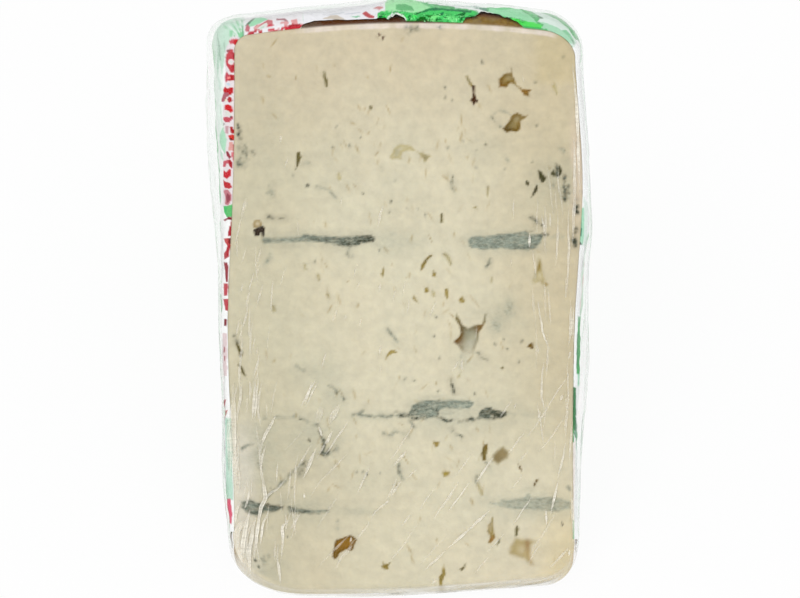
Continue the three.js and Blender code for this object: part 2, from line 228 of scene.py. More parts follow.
def grid_faces(numbers):
    """Squares of a grid, anticlockwise when it is seen with its first point at the lower left."""
    n = numbers
    return np.stack((n[:-1, :-1], n[:-1, 1:], n[1:, 1:], n[1:, :-1]), -1).reshape(-1, 4)


def band_faces(rows, closed=True):
    """Squares between rows of point numbers, facing out where the rows run clockwise and inwards."""
    after = np.roll(rows, -1, 1) if closed else rows[:, 1:]
    rows = rows if closed else rows[:, :-1]
    return np.stack((rows[:-1], after[:-1], after[1:], rows[1:]), -1).reshape(-1, 4)


fine_rim = rim_points(*FACE_CELLS)
coarse_rim = fine_rim[::COARSER]

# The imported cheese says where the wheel's axis lies in the frame.
low, high = (np.array(corner) * 1000 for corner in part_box("cheese"))
shares = np.linspace(0, 1, 120)[:, None]
form, _ = flank_rows(coarse_rim, shares * thickness(coarse_rim))
AXIS = (low + high - form.reshape(-1, 3).min(0) - form.reshape(-1, 3).max(0)) / 2
AXIS[2] = low[2]

# Eyes: small slits between the curds, and wider angular holes whose walls turn ochre. Each is
# its kind, its depth, and its outline: across,up for each corner on the front cut face. A kind is
# the colours of its walls and its floor, and how far its edge fades. The walls are coloured darker
# than the floors: their own ochre with painted shade in the hollow.
EYE_COLOURS = {
    "pale": ((192, 180, 132), (204, 195, 162), 0.5),
    "soft": ((184, 166, 116), (180, 162, 112), 1.2),
    "murky": ((160, 144, 96), (140, 122, 78), 1.0),
    "ochre": ((162, 142, 70), (198, 184, 128), 0.3),
    "olive": ((112, 102, 44), (150, 140, 88), 0.28),
    "moss": ((72, 68, 18), (118, 112, 52), 0.22),
    "brown": ((112, 84, 4), (154, 116, 8), 0.2),
    "dark": ((46, 28, 12), (84, 62, 34), 0.25),
    "grey": ((128, 112, 54), (158, 156, 126), 0.4),
    "tan": ((138, 110, 36), (168, 144, 78), 0.3),
    "burnt": ((82, 44, 6), (130, 84, 22), 0.22),
}
EYES = (
    ("tan", 1.6, (24.5,131, 24.5,133.1, 25.5,134.2, 26.6,134.8, 27.5,134.9, 27.5,136.4, 27.8,136.4,
     27.9,134.8, 28.5,133.6, 29.2,131.7, 30.8,130.6, 33.4,130.5, 32.3,129.5, 32.5,128.7, 31.1,129.1,
     30.2,130.3, 28.9,131.6, 27.9,132.2, 27,131.7, 26.6,131, 25.2,131.3)),
    ("burnt", 1.4, (16.9,132, 18.3,131.5, 18.6,128.9, 19.2,127, 18.5,127.2, 18,126.3, 17.6,127.4,
     16.7,127.9, 17.7,128.2, 18,129.8, 17.6,131)),
    ("ochre", 0.6, (15.8,134.2, 16.5,134.1, 17.6,132.2, 18,131.3, 17.4,131.2, 16.7,132.1)),
    ("tan", 1.7, (25.4,120.4, 26.6,121.7, 27.5,122.9, 27.8,123.9, 29.2,124.5, 30.6,123.8, 32.2,123.9,
     31.1,122.9, 30.2,122.3, 29.9,120.1, 28.9,119.4, 27.9,119.8, 26.6,119.3)),
    ("pale", 0.5, (38.9,132.8, 39.3,131.6, 39.9,129.8, 39.4,128.6, 39,129.8, 38,131.3)),
    ("moss", 1.3, (34.7,110, 35.5,109.4, 36.3,108, 37,107.8, 35.9,106.2, 35.1,107.2, 34.7,108.8)),
    ("moss", 0.7, (31.5,107, 32.5,106.6, 32.2,105.3, 31.2,106.1)),
    ("moss", 1, (34.3,105.9, 34.8,105.1, 34.2,103.9, 32.7,102.4, 33.4,104.1)),
    ("moss", 0.8, (37.9,108.5, 38.6,109.9, 39.1,108.9, 39.7,108.1, 38.4,108)),
    ("moss", 0.7, (40.1,111.4, 40.8,109.6, 40.5,108.2, 39.7,107.8, 39.9,109.8)),
    ("olive", 1.1, (-27.8,114.3, -27.1,114.5, -26.5,112.9, -27.1,111.5, -28.2,109.4, -28,111.3)),
    ("pale", 0.5, (-16,109.6, -16.5,108.8, -16.1,107.3, -16.9,106.7, -17.6,107.7, -17.3,108.9)),
    ("pale", 0.6, (-3.8,112.9, -3,115, -1.7,116.3, -0.7,116.6, 2,115.9, 3.6,114.4, 4.9,114.2, 7.5,113.3,
     6.2,112.2, 5.4,111, 4.6,112.9, 3,114.4, 1.2,114.7, -0.1,114.2, -0.7,113.1, -0.3,112.3, -1.7,112.5,
     -3,112.2)),
    ("dark", 1.2, (-39,94.4, -37.9,94.9, -36.6,95.2, -36,94.6, -36.1,92.3, -36.8,92.5, -37,93.7, -37.5,92.6,
     -38.6,92.6)),
    ("pale", 0.7, (-22.9,83.4, -21.7,82.6, -21.6,80.8, -22.3,81)),
    ("pale", 0.7, (-20.2,78, -19.2,77.6, -19,76.2, -19.7,76.5)),
    ("pale", 0.7, (-34.2,75.1, -33.3,74.6, -33.1,73, -33.8,72.8)),
    ("ochre", 0.7, (-5.3,84.6, -5.1,83.2, -5.7,81.8, -6,82.9)),
    ("pale", 0.5, (-26.2,85.6, -25.3,85.3, -25.1,83.7, -25.8,83.7)),
    ("pale", 0.8, (21.3,105.7, 22.1,105.4, 22.1,103.7, 21.7,102.2, 21.3,103.4)),
    ("ochre", 0.5, (17.7,99.8, 18.4,100.4, 19.1,99.4, 18.4,99.6)),
    ("olive", 0.7, (9.4,98.5, 10.1,98.3, 10.1,96.1, 9.4,96.1)),
    ("ochre", 1.1, (7.3,88.1, 7.5,87.3, 6.1,86.2, 5.2,84.5, 4.1,83.2, 4.2,84.6, 5.1,86.3, 6.4,87.3)),
    ("pale", 0.8, (9.6,88.2, 10.7,88.5, 11.9,87.1, 12.6,85.4, 12.2,84.4, 11.4,85.9, 10.6,87)),
    ("ochre", 0.7, (7.5,83.8, 8.2,83, 8.5,81.8, 7.3,82.3)),
    ("pale", 0.5, (22.3,82.4, 22.9,81.8, 22.9,80.2, 22.3,80.5)),
    ("pale", 0.9, (34.8,87.4, 35.6,86.1, 35.8,83.8, 36.5,81.5, 37.6,79.6, 36.5,79.4, 35.4,80.7, 34.4,80.5,
     33.4,79.7, 33.8,81.7, 34.4,84.3)),
    ("pale", 0.5, (33.8,83.2, 34.3,83, 33.5,80.4, 32.9,80.3)),
    ("ochre", 0.6, (5.3,79.4, 6.4,78.9, 6.3,77.9, 5.4,78.1)),
    ("ochre", 0.7, (10.6,79.3, 11.4,78.9, 11.6,77.1, 11.2,76.2, 10.6,77.2)),
    ("pale", 0.5, (7,79.1, 8.2,78, 8.2,76.8, 7.2,76.7)),
    ("ochre", 0.6, (2.6,77.6, 3.8,75, 2.9,75.9, 2.3,76.2)),
    ("ochre", 0.7, (15.1,77.4, 15.8,75.5, 14.8,75.2, 14.2,76.1)),
    ("grey", 1.3, (13.7,72.9, 14.3,71.1, 15.1,69.6, 16.5,68.8, 18.4,69.7, 20.3,69.9, 20.8,72.5, 21.5,72.5,
     21.3,70.4, 20.4,69.1, 19.5,67, 18.9,64.6, 17.9,61.8, 15.4,62.3, 14,64.2, 12.6,65.3, 13.9,66.4,
     14.6,67.7, 14.2,69.2, 13.1,71.1)),
    ("tan", 0.4, (-39.2,95.6, -38.6,96.7, -37.4,96.8, -36.6,96, -36.8,95, -38,94.7, -38.9,94.9)),
    ("burnt", 0.4, (-6.7,145.3, -6,144.9, -5.9,144.2, -6.4,144.3)),
    ("burnt", 0.3, (-7.3,144.5, -6.8,144.2, -6.7,143.6, -7.2,143.8)),
    ("burnt", 0.3, (-5.5,144.3, -4.9,144.5, -5,143.4, -5.7,143)),
    ("brown", 0.5, (33.1,65.2, 33.7,63.2, 31.6,64.1)),
    ("pale", 0.5, (15.1,57.6, 14.6,56.1, 13.5,55.4, 14,56.7)),
    ("olive", 0.6, (25.9,59.7, 25.7,58, 25,58.3)),
    ("ochre", 0.5, (-5,60.3, -4.7,61.8, -3.6,63.2, -2.3,63.2, -1.4,62.2, -2.6,62.3, -3.8,61.8)),
    ("tan", 1.1, (21.7,38.8, 21.6,36.5, 21.1,34.2, 20.2,34.4, 20,36.5, 20.6,38.4)),
    ("murky", 1, (26,38.6, 27.5,36.6, 27,34.8, 24.2,33, 22.6,34.4, 22.7,36.1, 24.8,38.1)),
    ("brown", 0.7, (29.4,34, 30.2,32.8, 30.5,31.4, 29.7,32.3)),
    ("brown", 0.6, (33.3,28, 34.1,29.6, 35.1,29.4, 34.3,28.7, 33.7,27.8)),
    ("pale", 0.6, (18.7,28.7, 19.8,28.6, 20.5,25.4, 19.8,25.2, 19.2,26.9)),
    ("ochre", 0.6, (7.3,39.5, 9.1,39.4, 8.9,38.1, 8.1,37.7)),
    ("ochre", 0.5, (9.8,31.6, 10.7,31.9, 11.8,31.4, 11.3,30.5, 10.4,30.3)),
    ("ochre", 1.2, (23.2,20.5, 23.1,17.7, 23.3,15.7, 23.7,14.6, 22.7,13.1, 21.7,13.2, 22.3,14.9, 21.4,16,
     21.6,17.7, 22.3,18.5)),
    ("olive", 0.5, (24.9,14.7, 24.9,13.2, 24.2,12.3, 24.2,13.8)),
    ("olive", 1.1, (29,18.7, 29.6,16.8, 29.6,15, 28.7,15, 28.7,16.8)),
    ("soft", 1, (28.8,15.2, 30.2,14.6, 32.2,14.5, 34.2,14, 34.7,13.5, 33.3,12.6, 33.3,10.1, 33.9,6.7,
     32.5,7.3, 31.1,8.7, 28.8,9.3, 26.9,10.1, 27.1,12.4, 28,13.8)),
    ("olive", 0.6, (16.3,8.3, 16,7.3, 14.9,5.8, 14.4,6.6, 15.4,7.2)),
    ("dark", 0.4, (40.5,19.1, 41.4,17.7, 40.8,17.6)),
    ("ochre", 1, (10.2,7.8, 10.6,6.2, 10.8,5.1, 10,3.1, 9.2,1.9, 8.9,4.2, 9.8,5.3, 9.8,6.7)),
    ("brown", 1.1, (-17.7,14.1, -16,14.5, -13.9,15.3, -12.2,14.1, -13.3,11.2, -14.4,11.2, -15,11.5,
     -16.5,10.6, -17.1,9.4, -17.6,8.7, -18.5,9.7, -18.4,11.3)),
    ("olive", 0.7, (-21,135.2, -20.5,135.3, -19.8,133.2, -19.7,131.2, -20.3,131.4, -20.7,133.4)),
    ("olive", 1, (-43.6,65.6, -42.6,64.4, -41.6,62.4, -42.4,61, -43,62.8)),
    ("olive", 0.7, (-43.2,60, -42.3,59.4, -41.2,57.2, -40.4,55.4, -42,57.2)),
    ("olive", 0.5, (-9,126.2, -8.2,126.3, -8,125.3, -8.8,125.2)),
    ("ochre", 0.8, (-5.6,8.5, -4.9,7.6, -3.3,8.3, -4,7.1, -4,6.2, -4.9,6.3, -6.1,7.1, -5.5,7.5)),
)

# Light and shade inside the wider eyes: across, up, reach across and along, colour, how strong.
TINTS = (
    (24.9, 132.2, 0.8, 1.3, (140, 106, 34), 0.8), (27.2, 133.7, 1, 0.8, (182, 166, 120), 0.8),
    (27.7, 135.8, 0.4, 0.9, (104, 80, 28), 0.8), (29.4, 132, 1.1, 0.8, (178, 154, 88), 0.6),
    (31.3, 130.2, 1.3, 0.8, (148, 110, 38), 0.7), (27, 120, 1.7, 0.7, (112, 90, 38), 0.9),
    (29.4, 122.9, 1.1, 0.8, (180, 168, 130), 0.8), (28, 121.5, 1.2, 0.9, (150, 138, 92), 0.6),
    (16.6, 133, 0.9, 1.6, (156, 146, 108), 0.8), (18.2, 127, 0.9, 0.8, (92, 44, 14), 0.7),
    (-2, 114.4, 0.5, 1.7, (170, 164, 130), 0.7), (5.6, 113, 1.1, 1.3, (150, 138, 96), 0.8),
    (13.3, 65.6, 1.2, 1.2, (126, 84, 20), 0.9), (15.1, 69.2, 0.6, 1.6, (126, 108, 58), 0.7),
    (19.9, 69, 0.9, 1.8, (150, 118, 60), 0.8), (17, 67.6, 1.4, 1.6, (158, 156, 132), 0.8),
    (16.8, 62.6, 2.6, 1.5, (212, 206, 182), 0.98), (21.1, 71.8, 0.5, 1.3, (158, 154, 126), 0.8),
    (34.4, 84.2, 0.8, 1, (160, 134, 44), 0.9), (36, 80.8, 0.9, 1.2, (194, 178, 128), 0.8),
    (32, 12.8, 0.7, 2.4, (156, 120, 70), 0.75), (33, 9, 0.9, 2, (176, 146, 98), 0.6),
    (28.4, 12.6, 1.2, 1.6, (176, 160, 112), 0.6), (27.6, 10.4, 1, 1, (168, 150, 98), 0.5),
    (30.4, 11.4, 1, 1.2, (206, 192, 156), 0.7), (22.6, 14, 0.8, 0.8, (160, 122, 62), 0.7),
    (22.3, 17, 0.5, 1.4, (198, 184, 146), 0.6), (-17.6, 10.5, 0.9, 1.6, (134, 104, 40), 0.6),
    (21, 36.4, 0.9, 2, (142, 128, 62), 0.6), (25.4, 36.2, 1.6, 1.8, (158, 142, 100), 0.7),
    (8.2, 38.8, 0.7, 0.7, (164, 140, 66), 0.8), (10.6, 31, 0.8, 0.6, (172, 152, 62), 0.8),
    (-37.9, 95.8, 0.8, 0.7, (206, 194, 162), 0.95), (12.9, 65.8, 1.1, 0.9, (112, 66, 12), 0.95),
    (14.6, 67.8, 0.7, 1.8, (92, 74, 30), 0.85), (19.6, 68.6, 0.9, 1.1, (138, 112, 60), 0.8),
    (20.9, 71.6, 0.5, 1.4, (160, 152, 118), 0.8), (17.2, 64.8, 2, 1.2, (196, 192, 170), 0.9),
    (14.4, 64.5, 0.7, 0.6, (198, 192, 168), 0.9), (35, 84.9, 0.5, 1.2, (150, 124, 32), 0.95),
    (37, 80, 0.6, 0.6, (166, 132, 52), 0.8), (35, 81.6, 0.9, 1, (202, 188, 146), 0.8),
    (-5, 7.2, 1.1, 0.9, (148, 126, 50), 0.8), (13.9, 66.5, 1.6, 2.4, (116, 82, 20), 0.95),
    (15.4, 70.4, 0.6, 1.4, (104, 86, 40), 0.8), (17.4, 68.9, 1.6, 1.3, (140, 136, 110), 0.7),
    (19.5, 68.7, 1.3, 1.4, (130, 98, 42), 0.85), (18.4, 66.4, 1, 1.6, (186, 182, 158), 0.6),
    (22.2, 18, 0.6, 1.8, (208, 194, 158), 0.7), (-15.4, 12.8, 2.6, 1.6, (146, 104, 6), 0.95),
    (22.9, 13.9, 0.8, 1.1, (184, 138, 66), 0.8), (25.3, 131.4, 1, 0.9, (146, 106, 36), 0.8),
    (31.4, 130.2, 1.2, 0.9, (164, 122, 44), 0.8), (26.4, 120, 1.2, 0.8, (112, 90, 38), 0.8),
    (30.6, 123.2, 1.2, 0.9, (164, 142, 86), 0.6), (24.6, 35.6, 1, 1.4, (138, 120, 76), 0.7),
    (20.4, 36.5, 0.5, 2, (118, 104, 50), 0.7),
)

# Needle channels lined with mould: how strong, how dark at the left and right end, outline.
CHANNELS = (
    (0.62, 0.35, 0.4, (-36.4,91.8, -31.9,92.2, -26.4,92.6, -26.6,91, -31.9,90.8, -36.1,90.6)),
    (0.88, 0.46, 0.66, (-27,92.4, -26.1,92.8, -19.7,92.5, -16,92.3, -11.8,92.6, -11.4,90.5, -14.7,90.1,
     -18.7,90.6, -21.8,91.2, -27,91.2)),
    (0.92, 0.72, 0.85, (-12.4,92.4, -8.4,92.7, -7.6,92.2, -8,91.2, -10.4,91, -12.2,91.4)),
    (0.82, 0.27, 0.36, (16.5,91.7, 17.8,92.4, 19.7,92.5, 25.6,92.8, 31.3,93.7, 32.2,93.5, 32.4,92.8,
     35.6,92.9, 35.5,91.5, 34.4,89.9, 32.2,89.3, 23.4,89.2, 19.7,89.2, 17.5,89.6, 16.8,90.6)),
    (0.78, 0.45, 0.2, (1.3,46, 1.8,48.1, 3.7,49.5, 5.2,50, 11.5,50.1, 16.5,50, 18.1,49.3, 16.8,47.9,
     13.7,47.8, 11.5,48.1, 9.3,47.8, 8.7,46, 6.5,45.6, 3.7,45.7)),
    (0.9, 0.6, 0.7, (19,45.6, 20,47.3, 21.2,48.2, 22.5,48.1, 22.6,45.4)),
    (1, 0.95, 1, (23,45.5, 23,47.4, 24.7,47.5, 26.2,46.8, 26.3,46.2, 25.5,45.6)),
    (0.78, 0.5, 0.7, (-41.9,23.5, -39.8,24, -37.4,23.5, -36.1,22.9, -33.5,22.7, -31.9,22.2, -33.5,21.4,
     -36.1,21.2, -38.2,20.4, -40.3,21.1, -41.6,22.2)),
    (0.78, 0.65, 0.45, (-29.8,22.4, -27.6,22.2, -23.4,21.6, -19.7,21.9, -19.5,21.4, -23.4,21, -26.6,21,
     -29.5,21.1)),
    (0.5, 0.2, 0.3, (22.5,23.3, 25.5,24, 28,24.1, 30.5,24.7, 31.9,26.1, 32.7,26.1, 33,24.8, 35.8,25.1,
     39.2,24.7, 42.8,24.1, 43.1,21.9, 39.2,21.5, 35.6,21.6, 32.2,22.2, 28.3,21.9, 25.5,22.7)),
)

# Veins along the seams between curds, and first two painted shadow lines of the foil's torn edge by the
# right rim: half width, how strong, how dark, path.
VEINS = (
    # these two are painted shadow of the foil's torn edge along the right rim
    (0.4, 0.9, 1, (44.7,101.9, 44.5,98.8)),
    (0.4, 0.9, 1, (44.5,94.4, 43.8,92.6, 44.4,90.3)),
    (0.45, 0.9, 0.85, (2.2,46, 2.4,47.6, 4.5,49, 6.5,49.3, 8.2,48.6, 8.6,47, 8.2,46, 5,46, 2.2,45.8)),
    (0.3, 0.5, 0.7, (-2.4,46.8, 1.3,46.2)),
    (0.5, 0.95, 0.9, (-26.9,30.8, -26.2,32.2, -25.4,33.9)),
    (0.35, 0.6, 0.6, (-35.9,24.3, -31.5,29, -27.9,32.3, -26,33.4)),
    (0.3, 0.7, 1, (-43.7,66.4, -43,65)),
    (0.4, 0.9, 1, (-43.4,121.2, -42.5,119.4, -42.8,118)),
    (1.1, 0.8, 0.7, (-42.2,115.6, -41,114.4, -41.6,112.8, -42.6,111.2)),
    (0.3, 0.8, 0.9, (-39,114.4, -38.7,113.8)),
    (0.35, 0.7, 0.7, (-13.9,90.2, -14.7,88.2, -14.2,87.4, -13.4,87.5)),
    (0.45, 0.4, 0.3, (-34.8,88.2, -34.8,86.9, -35.8,85.6)),
    (0.2, 0.9, 1, (-34.9,97.5, -33.8,97.3)),
    (0.2, 0.7, 1, (-32.4,97.1, -30.9,97.1)),
    (0.3, 0.9, 0.9, (33,97.1, 34.1,96.2, 35.6,95.3)),
    (0.3, 0.7, 0.9, (32.7,93.9, 33.8,95, 33.4,95.9)),
    (0.35, 0.9, 0.9, (35.6,92.6, 37.1,92.8)),
    (0.6, 0.35, 0.3, (37.8,92.4, 40.7,92.3)),
    (0.2, 0.6, 0.8, (12.4,107.8, 12.4,106.2, 13.1,103.4)),
    (0.2, 0.6, 0.7, (22.2,86.6, 21.5,84.6)),
    (0.2, 0.5, 0.7, (22.8,123.4, 25.2,120.6)),
    (0.2, 0.35, 0.5, (23.4,124.6, 24.7,125, 26.4,124.6, 27.6,123.7)),
    (0.45, 0.8, 0.8, (41.5,107.8, 41.7,105.3, 41.5,102.6)),
    (0.5, 0.9, 0.8, (39.5,111, 39.6,108.6)),
    (0.4, 0.4, 0.4, (26.1,113.3, 27.1,112)),
    (0.5, 0.4, 0.4, (40.7,115.2, 41.7,114)),
    (0.3, 0.4, 0.5, (-22.7,105.1, -21,105, -19.4,104.5, -17.8,102.8)),
    (0.3, 0.5, 0.5, (-26.3,111, -24.6,111.5)),
    (0.35, 0.5, 0.6, (-0.8,115.6, -1.3,113.4)),
    (0.25, 0.4, 0.5, (-5.9,110.2, -5.7,109.2)),
    (0.3, 0.4, 0.3, (15.1,62.3, 15,60.8, 14.5,58.6)),
    (0.2, 0.6, 0.8, (18.8,62.5, 19.7,61.4, 21.4,60.5)),
    (0.2, 0.9, 1, (12.3,55.3, 12.5,53.6, 13.1,51.8)),
    (0.25, 0.8, 0.9, (-1,45.9, 1.3,45.9)),
    (0.3, 0.9, 0.8, (8.7,45.6, 11.5,44.8, 14.6,44.8, 18.4,45.4, 20.9,45.6)),
    (0.35, 0.6, 0.5, (-13.4,46.2, -6.3,45.9, 1,45.9)),
    (0.3, 0.7, 0.8, (12.3,43.2, 12.8,41.8, 15,40.7)),
    (0.3, 0.5, 0.6, (1.3,45.1, 3,43.2)),
    (0.35, 0.35, 0.4, (26.6,46.4, 30.3,46.4)),
    (0.3, 0.35, 0.4, (-2.4,42.5, 1.4,41)),
    (0.3, 0.5, 0.5, (-1.6,33.5, -1.1,31.8, -0.3,29.6)),
    (0.35, 0.4, 0.4, (-27.7,59, -25.4,57.4, -23,55.9)),
    (0.35, 0.4, 0.4, (-19.1,53.6, -16,51.7, -16,49.7)),
    (0.4, 0.45, 0.5, (-36.2,45.5, -27.4,45.8, -22,43.2, -21,39.1, -20.4,36.7, -18.1,37.3)),
    (0.3, 0.55, 0.6, (-36,24, -34.8,26.1, -32.7,27.2, -30.5,29.5, -27.6,32.2)),
    (0.3, 0.8, 1, (-26.6,30.6, -25.8,31.9, -25,33.5)),
    (0.35, 0.8, 0.8, (-21,39.8, -20.5,37.7, -20.8,36.1, -19.2,37.1, -18.1,37.2)),
    (0.35, 0.5, 0.5, (-17.2,18.9, -17,17.1)),
    (0.2, 0.5, 0.7, (21.2,34.2, 22.4,31.7)),
    (0.2, 0.5, 0.7, (19.1,30.6, 18.7,28.9)),
    (0.3, 0.5, 0.6, (42.4,27.8, 43.4,26.7)),
    (0.3, 0.5, 0.4, (22.5,23.3, 23.8,23.6)),
    (0.25, 0.55, 0.5, (-4.3,68.3, -3.1,67, -2.1,65.2)),
    (0.25, 0.7, 0.9, (-22.3,43.7, -22,41.9, -21.5,40.6)),
    (0.3, 0.7, 0.9, (-20.9,38.9, -20.8,37.3, -21.2,36.2, -20.6,35.5)),
    (0.25, 0.6, 0.7, (-19.3,53.9, -17.5,52.2, -16,51.6, -15.9,49.8)),
    (0.3, 0.6, 0.6, (-13.1,46.1, -11.8,46.6, -10.7,47.5)),
    (0.25, 0.7, 0.8, (-1.5,33.2, -1.2,31.4)),
    (0.25, 0.45, 0.5, (-5.3,41.7, -3.6,41.1, -2,41.9)),
    (0.2, 0.6, 0.6, (1.6,47.3, 3.2,49, 5.2,49.9, 11.5,50, 16.2,49.8)),
    (0.6, 0.7, 0.9, (3.6,46.5, 5.6,46.2, 8.2,46.8)),
    (0.4, 0.8, 0.9, (41.3,107, 41.9,104.6, 41.8,102)),
    (0.3, 0.7, 0.8, (42.4,106, 42.7,103.6)),
    (0.25, 0.7, 0.8, (-40.9,23.6, -39.4,22.2, -38.9,21.2)),
    (0.3, 0.9, 1, (-35.8,23, -33.6,22.4, -31.4,22.2)),
)

# Spots of mould: how wide, how strong, how dark, places.
SPOTS = (
    (0.48, 0.5, 0.95, (18.8,115, 21.1,116.4, 15.3,117, 11.4,115.5, 41.4,114.5, 44.8,116.7, 33.3,111.8,
     18.5,110.2, 25.8,110, 10.4,131.2, 12.5,127.5, 10.6,128.4, 41.4,138.9, 20.3,137.6, 34.4,121.1,
     34.1,132.4, -28.9,108.5, -17.3,121, -18.2,115.5, -24.6,105.5, -11.1,118, -13.9,116.2, -10.7,103.6,
     -3.3,101.5, -3.8,98.9, -2.4,106.9, 3.6,99.7, 5.4,97.9, 0.9,99.8, -22.9,86, -6.3,88.7, 8.1,71.6,
     7.8,66.6, 30.5,65.3, 25.8,65.8, 23.7,64.7, 26.6,63.3, 29.6,60.1, 9.2,60.8, 9,52.6, 18.4,51.7, 0.2,55.6,
     2.7,55, -25.1,39.6, -34.5,27.4, -30,14.8, -7.6,21, -12.2,31.5, -10.6,31.3, -9.6,31, -6.1,31.3,
     -29,27.4)),
    (1.5, 0.5, 0.5, (27.3,73.5, 23.9,69.1, -37.8,32.9, -40.6,38, -36.1,8.4, -18.1,37.2)),
    (1.3, 0.45, 0.5, (-34.5,104, 41.6,104, 39,105.5)),
    (0.9, 0.8, 0.7, (0.6,146.5, 1.8,146.1, 3,146.4)),
    (0.5, 0.7, 0.6, (8.6,146.9, 9.4,146.5)),
    (0.7, 0.8, 0.8, (-38.5,8.8, -37.6,7.2, -38.2,5.6, -36.4,3.9, -35.2,2.9)),
    (0.45, 0.9, 1, (-26.9,45.3, -24.7,39.7, -18.2,37.3, -9.7,30.8, -25.1,105.5, -12.3,31.6)),
)

# Faint mould in the paste: where, its reach across and along, how strong.
HAZES = (
    (-34, 91, 9, 4, 0.14), (-4, 91.4, 9, 3.4, 0.3), (38, 106, 7, 8, 0.26), (25, 71, 6, 5, 0.24),
    (27.2, 73.6, 1.8, 3.4, 0.5), (23.8, 69.4, 1.8, 3, 0.45), (-37, 36, 7, 11, 0.3), (-24, 41, 9, 8, 0.24),
    (-37, 8, 7, 7, 0.3), (-29, 22, 14, 3.5, 0.3), (-15, 21.4, 9, 1.2, 0.26), (16, 46, 15, 4.2, 0.32),
    (-8, 46, 9, 1.4, 0.26), (33, 22, 13, 4, 0.22), (-17, 111, 9, 9, 0.1), (0, 101, 7, 6, 0.1),
    (-35, 120, 8, 22, 0.1), (16, 61, 4, 5, 0.16), (28, 12, 9, 6, 0.1), (-22, 57, 9, 4, 0.16),
    (33, 46.4, 8, 1.2, 0.18), (26, 92, 10, 4, 0.1), (12, 46.8, 4.5, 1.3, 0.42), (-18, 51.5, 4, 2.6, 0.26),
    (41.6, 104.5, 2.6, 4, 0.4), (21, 115, 7, 4, 0.12), (-33, 16, 6, 5, 0.16), (-10, 29, 10, 5, 0.1),
    (-4, 106, 3, 3, 0.14), (20, 24, 6, 2.4, 0.12),
)
FINE_SLITS = 190  # the smallest slits, which lie all over the cut face
SLITS_SEED = 12
HAZE_TONE = 0.25  # how dark a haze is


def pairs(numbers):
    """Rows of across and up, from a list in which they take turns."""
    return np.reshape(numbers, (-1, 2)).astype(float)


def edge_distance(x, up, starts, edges):
    """Distance from each point to the nearest of some edges, told by their starts and their runs."""
    offset = np.stack((x, up), -1)[:, None] - starts
    share = np.clip((offset * edges).sum(-1) / (edges**2).sum(-1), 0, 1)
    return np.linalg.norm(offset - share[..., None] * edges, axis=-1).min(1)


def inside_distance(x, up, outline):
    """How far inside an outline each point lies, negative outside: the distance to its nearest edge,
    signed by whether a line to the side crosses the outline an odd number of times."""
    corners = pairs(outline)
    edges = np.roll(corners, -1, 0) - corners
    nearest = edge_distance(x, up, corners, edges)
    right, above = x[:, None] - corners[:, 0], up[:, None] - corners[:, 1]
    starts_above, ends_above = corners[:, 1] > up[:, None], np.roll(corners[:, 1], -1) > up[:, None]
    rise = np.where(np.abs(edges[:, 1]) < 1e-9, 1e-9, edges[:, 1])
    crossed = (starts_above != ends_above) & (right < edges[:, 0] * above / rise)
    return np.where(crossed.sum(1) % 2 == 1, nearest, -nearest)


def line_distance(x, up, path):
    """Distance from each point to the nearest stretch of an open path."""
    return edge_distance(x, up, pairs(path)[:-1], np.diff(pairs(path), axis=0))


def near(x, up, spots, margin):
    """Numbers of the points within a margin of the box round some places."""
    low, high = pairs(spots).min(0) - margin, pairs(spots).max(0) + margin
    return np.flatnonzero((x > low[0]) & (x < high[0]) & (up > low[1]) & (up < high[1]))


def soft_oval(x, up, across, along, wide, tall):
    """A bell over a place on the cut face, with its reach across and along."""
    return bell(np.hypot((x - across) / wide, (up - along) / tall))


def linear(rgb):
    """A screen colour of 0 to 255 as linear light."""
    share = np.array(rgb) / 255
    return np.where(share <= 0.04045, share / 12.92, ((share + 0.055) / 1.055) ** 2.4)


def carve_eyes(x, up, eyes):
    """Depth, colour and cover of the eyes at each point. A wall falls in a quarter curve over its run,
    which is most of the hollow's half width in a narrow slit, and the floor behind it is paler: the
    walls' colour is their ochre with painted shade in the hollow."""
    depth, cover = np.zeros(len(x)), np.zeros(len(x))
    colour = np.zeros((len(x), 3))
    ragged_x = x + 0.25 * clouds(x, up, 1.3, 3)
    ragged_up = up + 0.25 * clouds(x, up, 1.3, 7)
    for kind, deep, outline in eyes:
        at = near(x, up, outline, 1.5)
        inside = inside_distance(ragged_x[at], ragged_up[at], outline)
        wall, floor, fade = EYE_COLOURS[kind]
        run = min(0.8 + fade, 0.85 * max(inside.max(), 0.3))
        fall = 1 - (1 - np.clip(inside / run, 0, 1)) ** 2
        pale = smooth(inside + 0.35 * clouds(x[at], up[at], 1.8, 5), 0.2, 1.3)
        shown = smooth(inside, -0.12, fade)
        # the wall colour is ochre with painted shade in the hollow, and the floor is paler
        lining = mix(linear(wall), linear(floor), pale)
        depth[at] = np.maximum(depth[at], deep * fall)
        colour[at] = mix(colour[at], lining, (shown > cover[at]) * 1.0)
        cover[at] = np.maximum(cover[at], shown)
    for across, along, wide, tall, rgb, strength in TINTS:
        at = near(x, up, [(across, along)], 2.5 * max(wide, tall))
        shade = strength * soft_oval(x[at], up[at], across, along, wide, tall)
        colour[at] = mix(colour[at], linear(rgb), shade * (cover[at] > 0))
    return depth, colour, cover


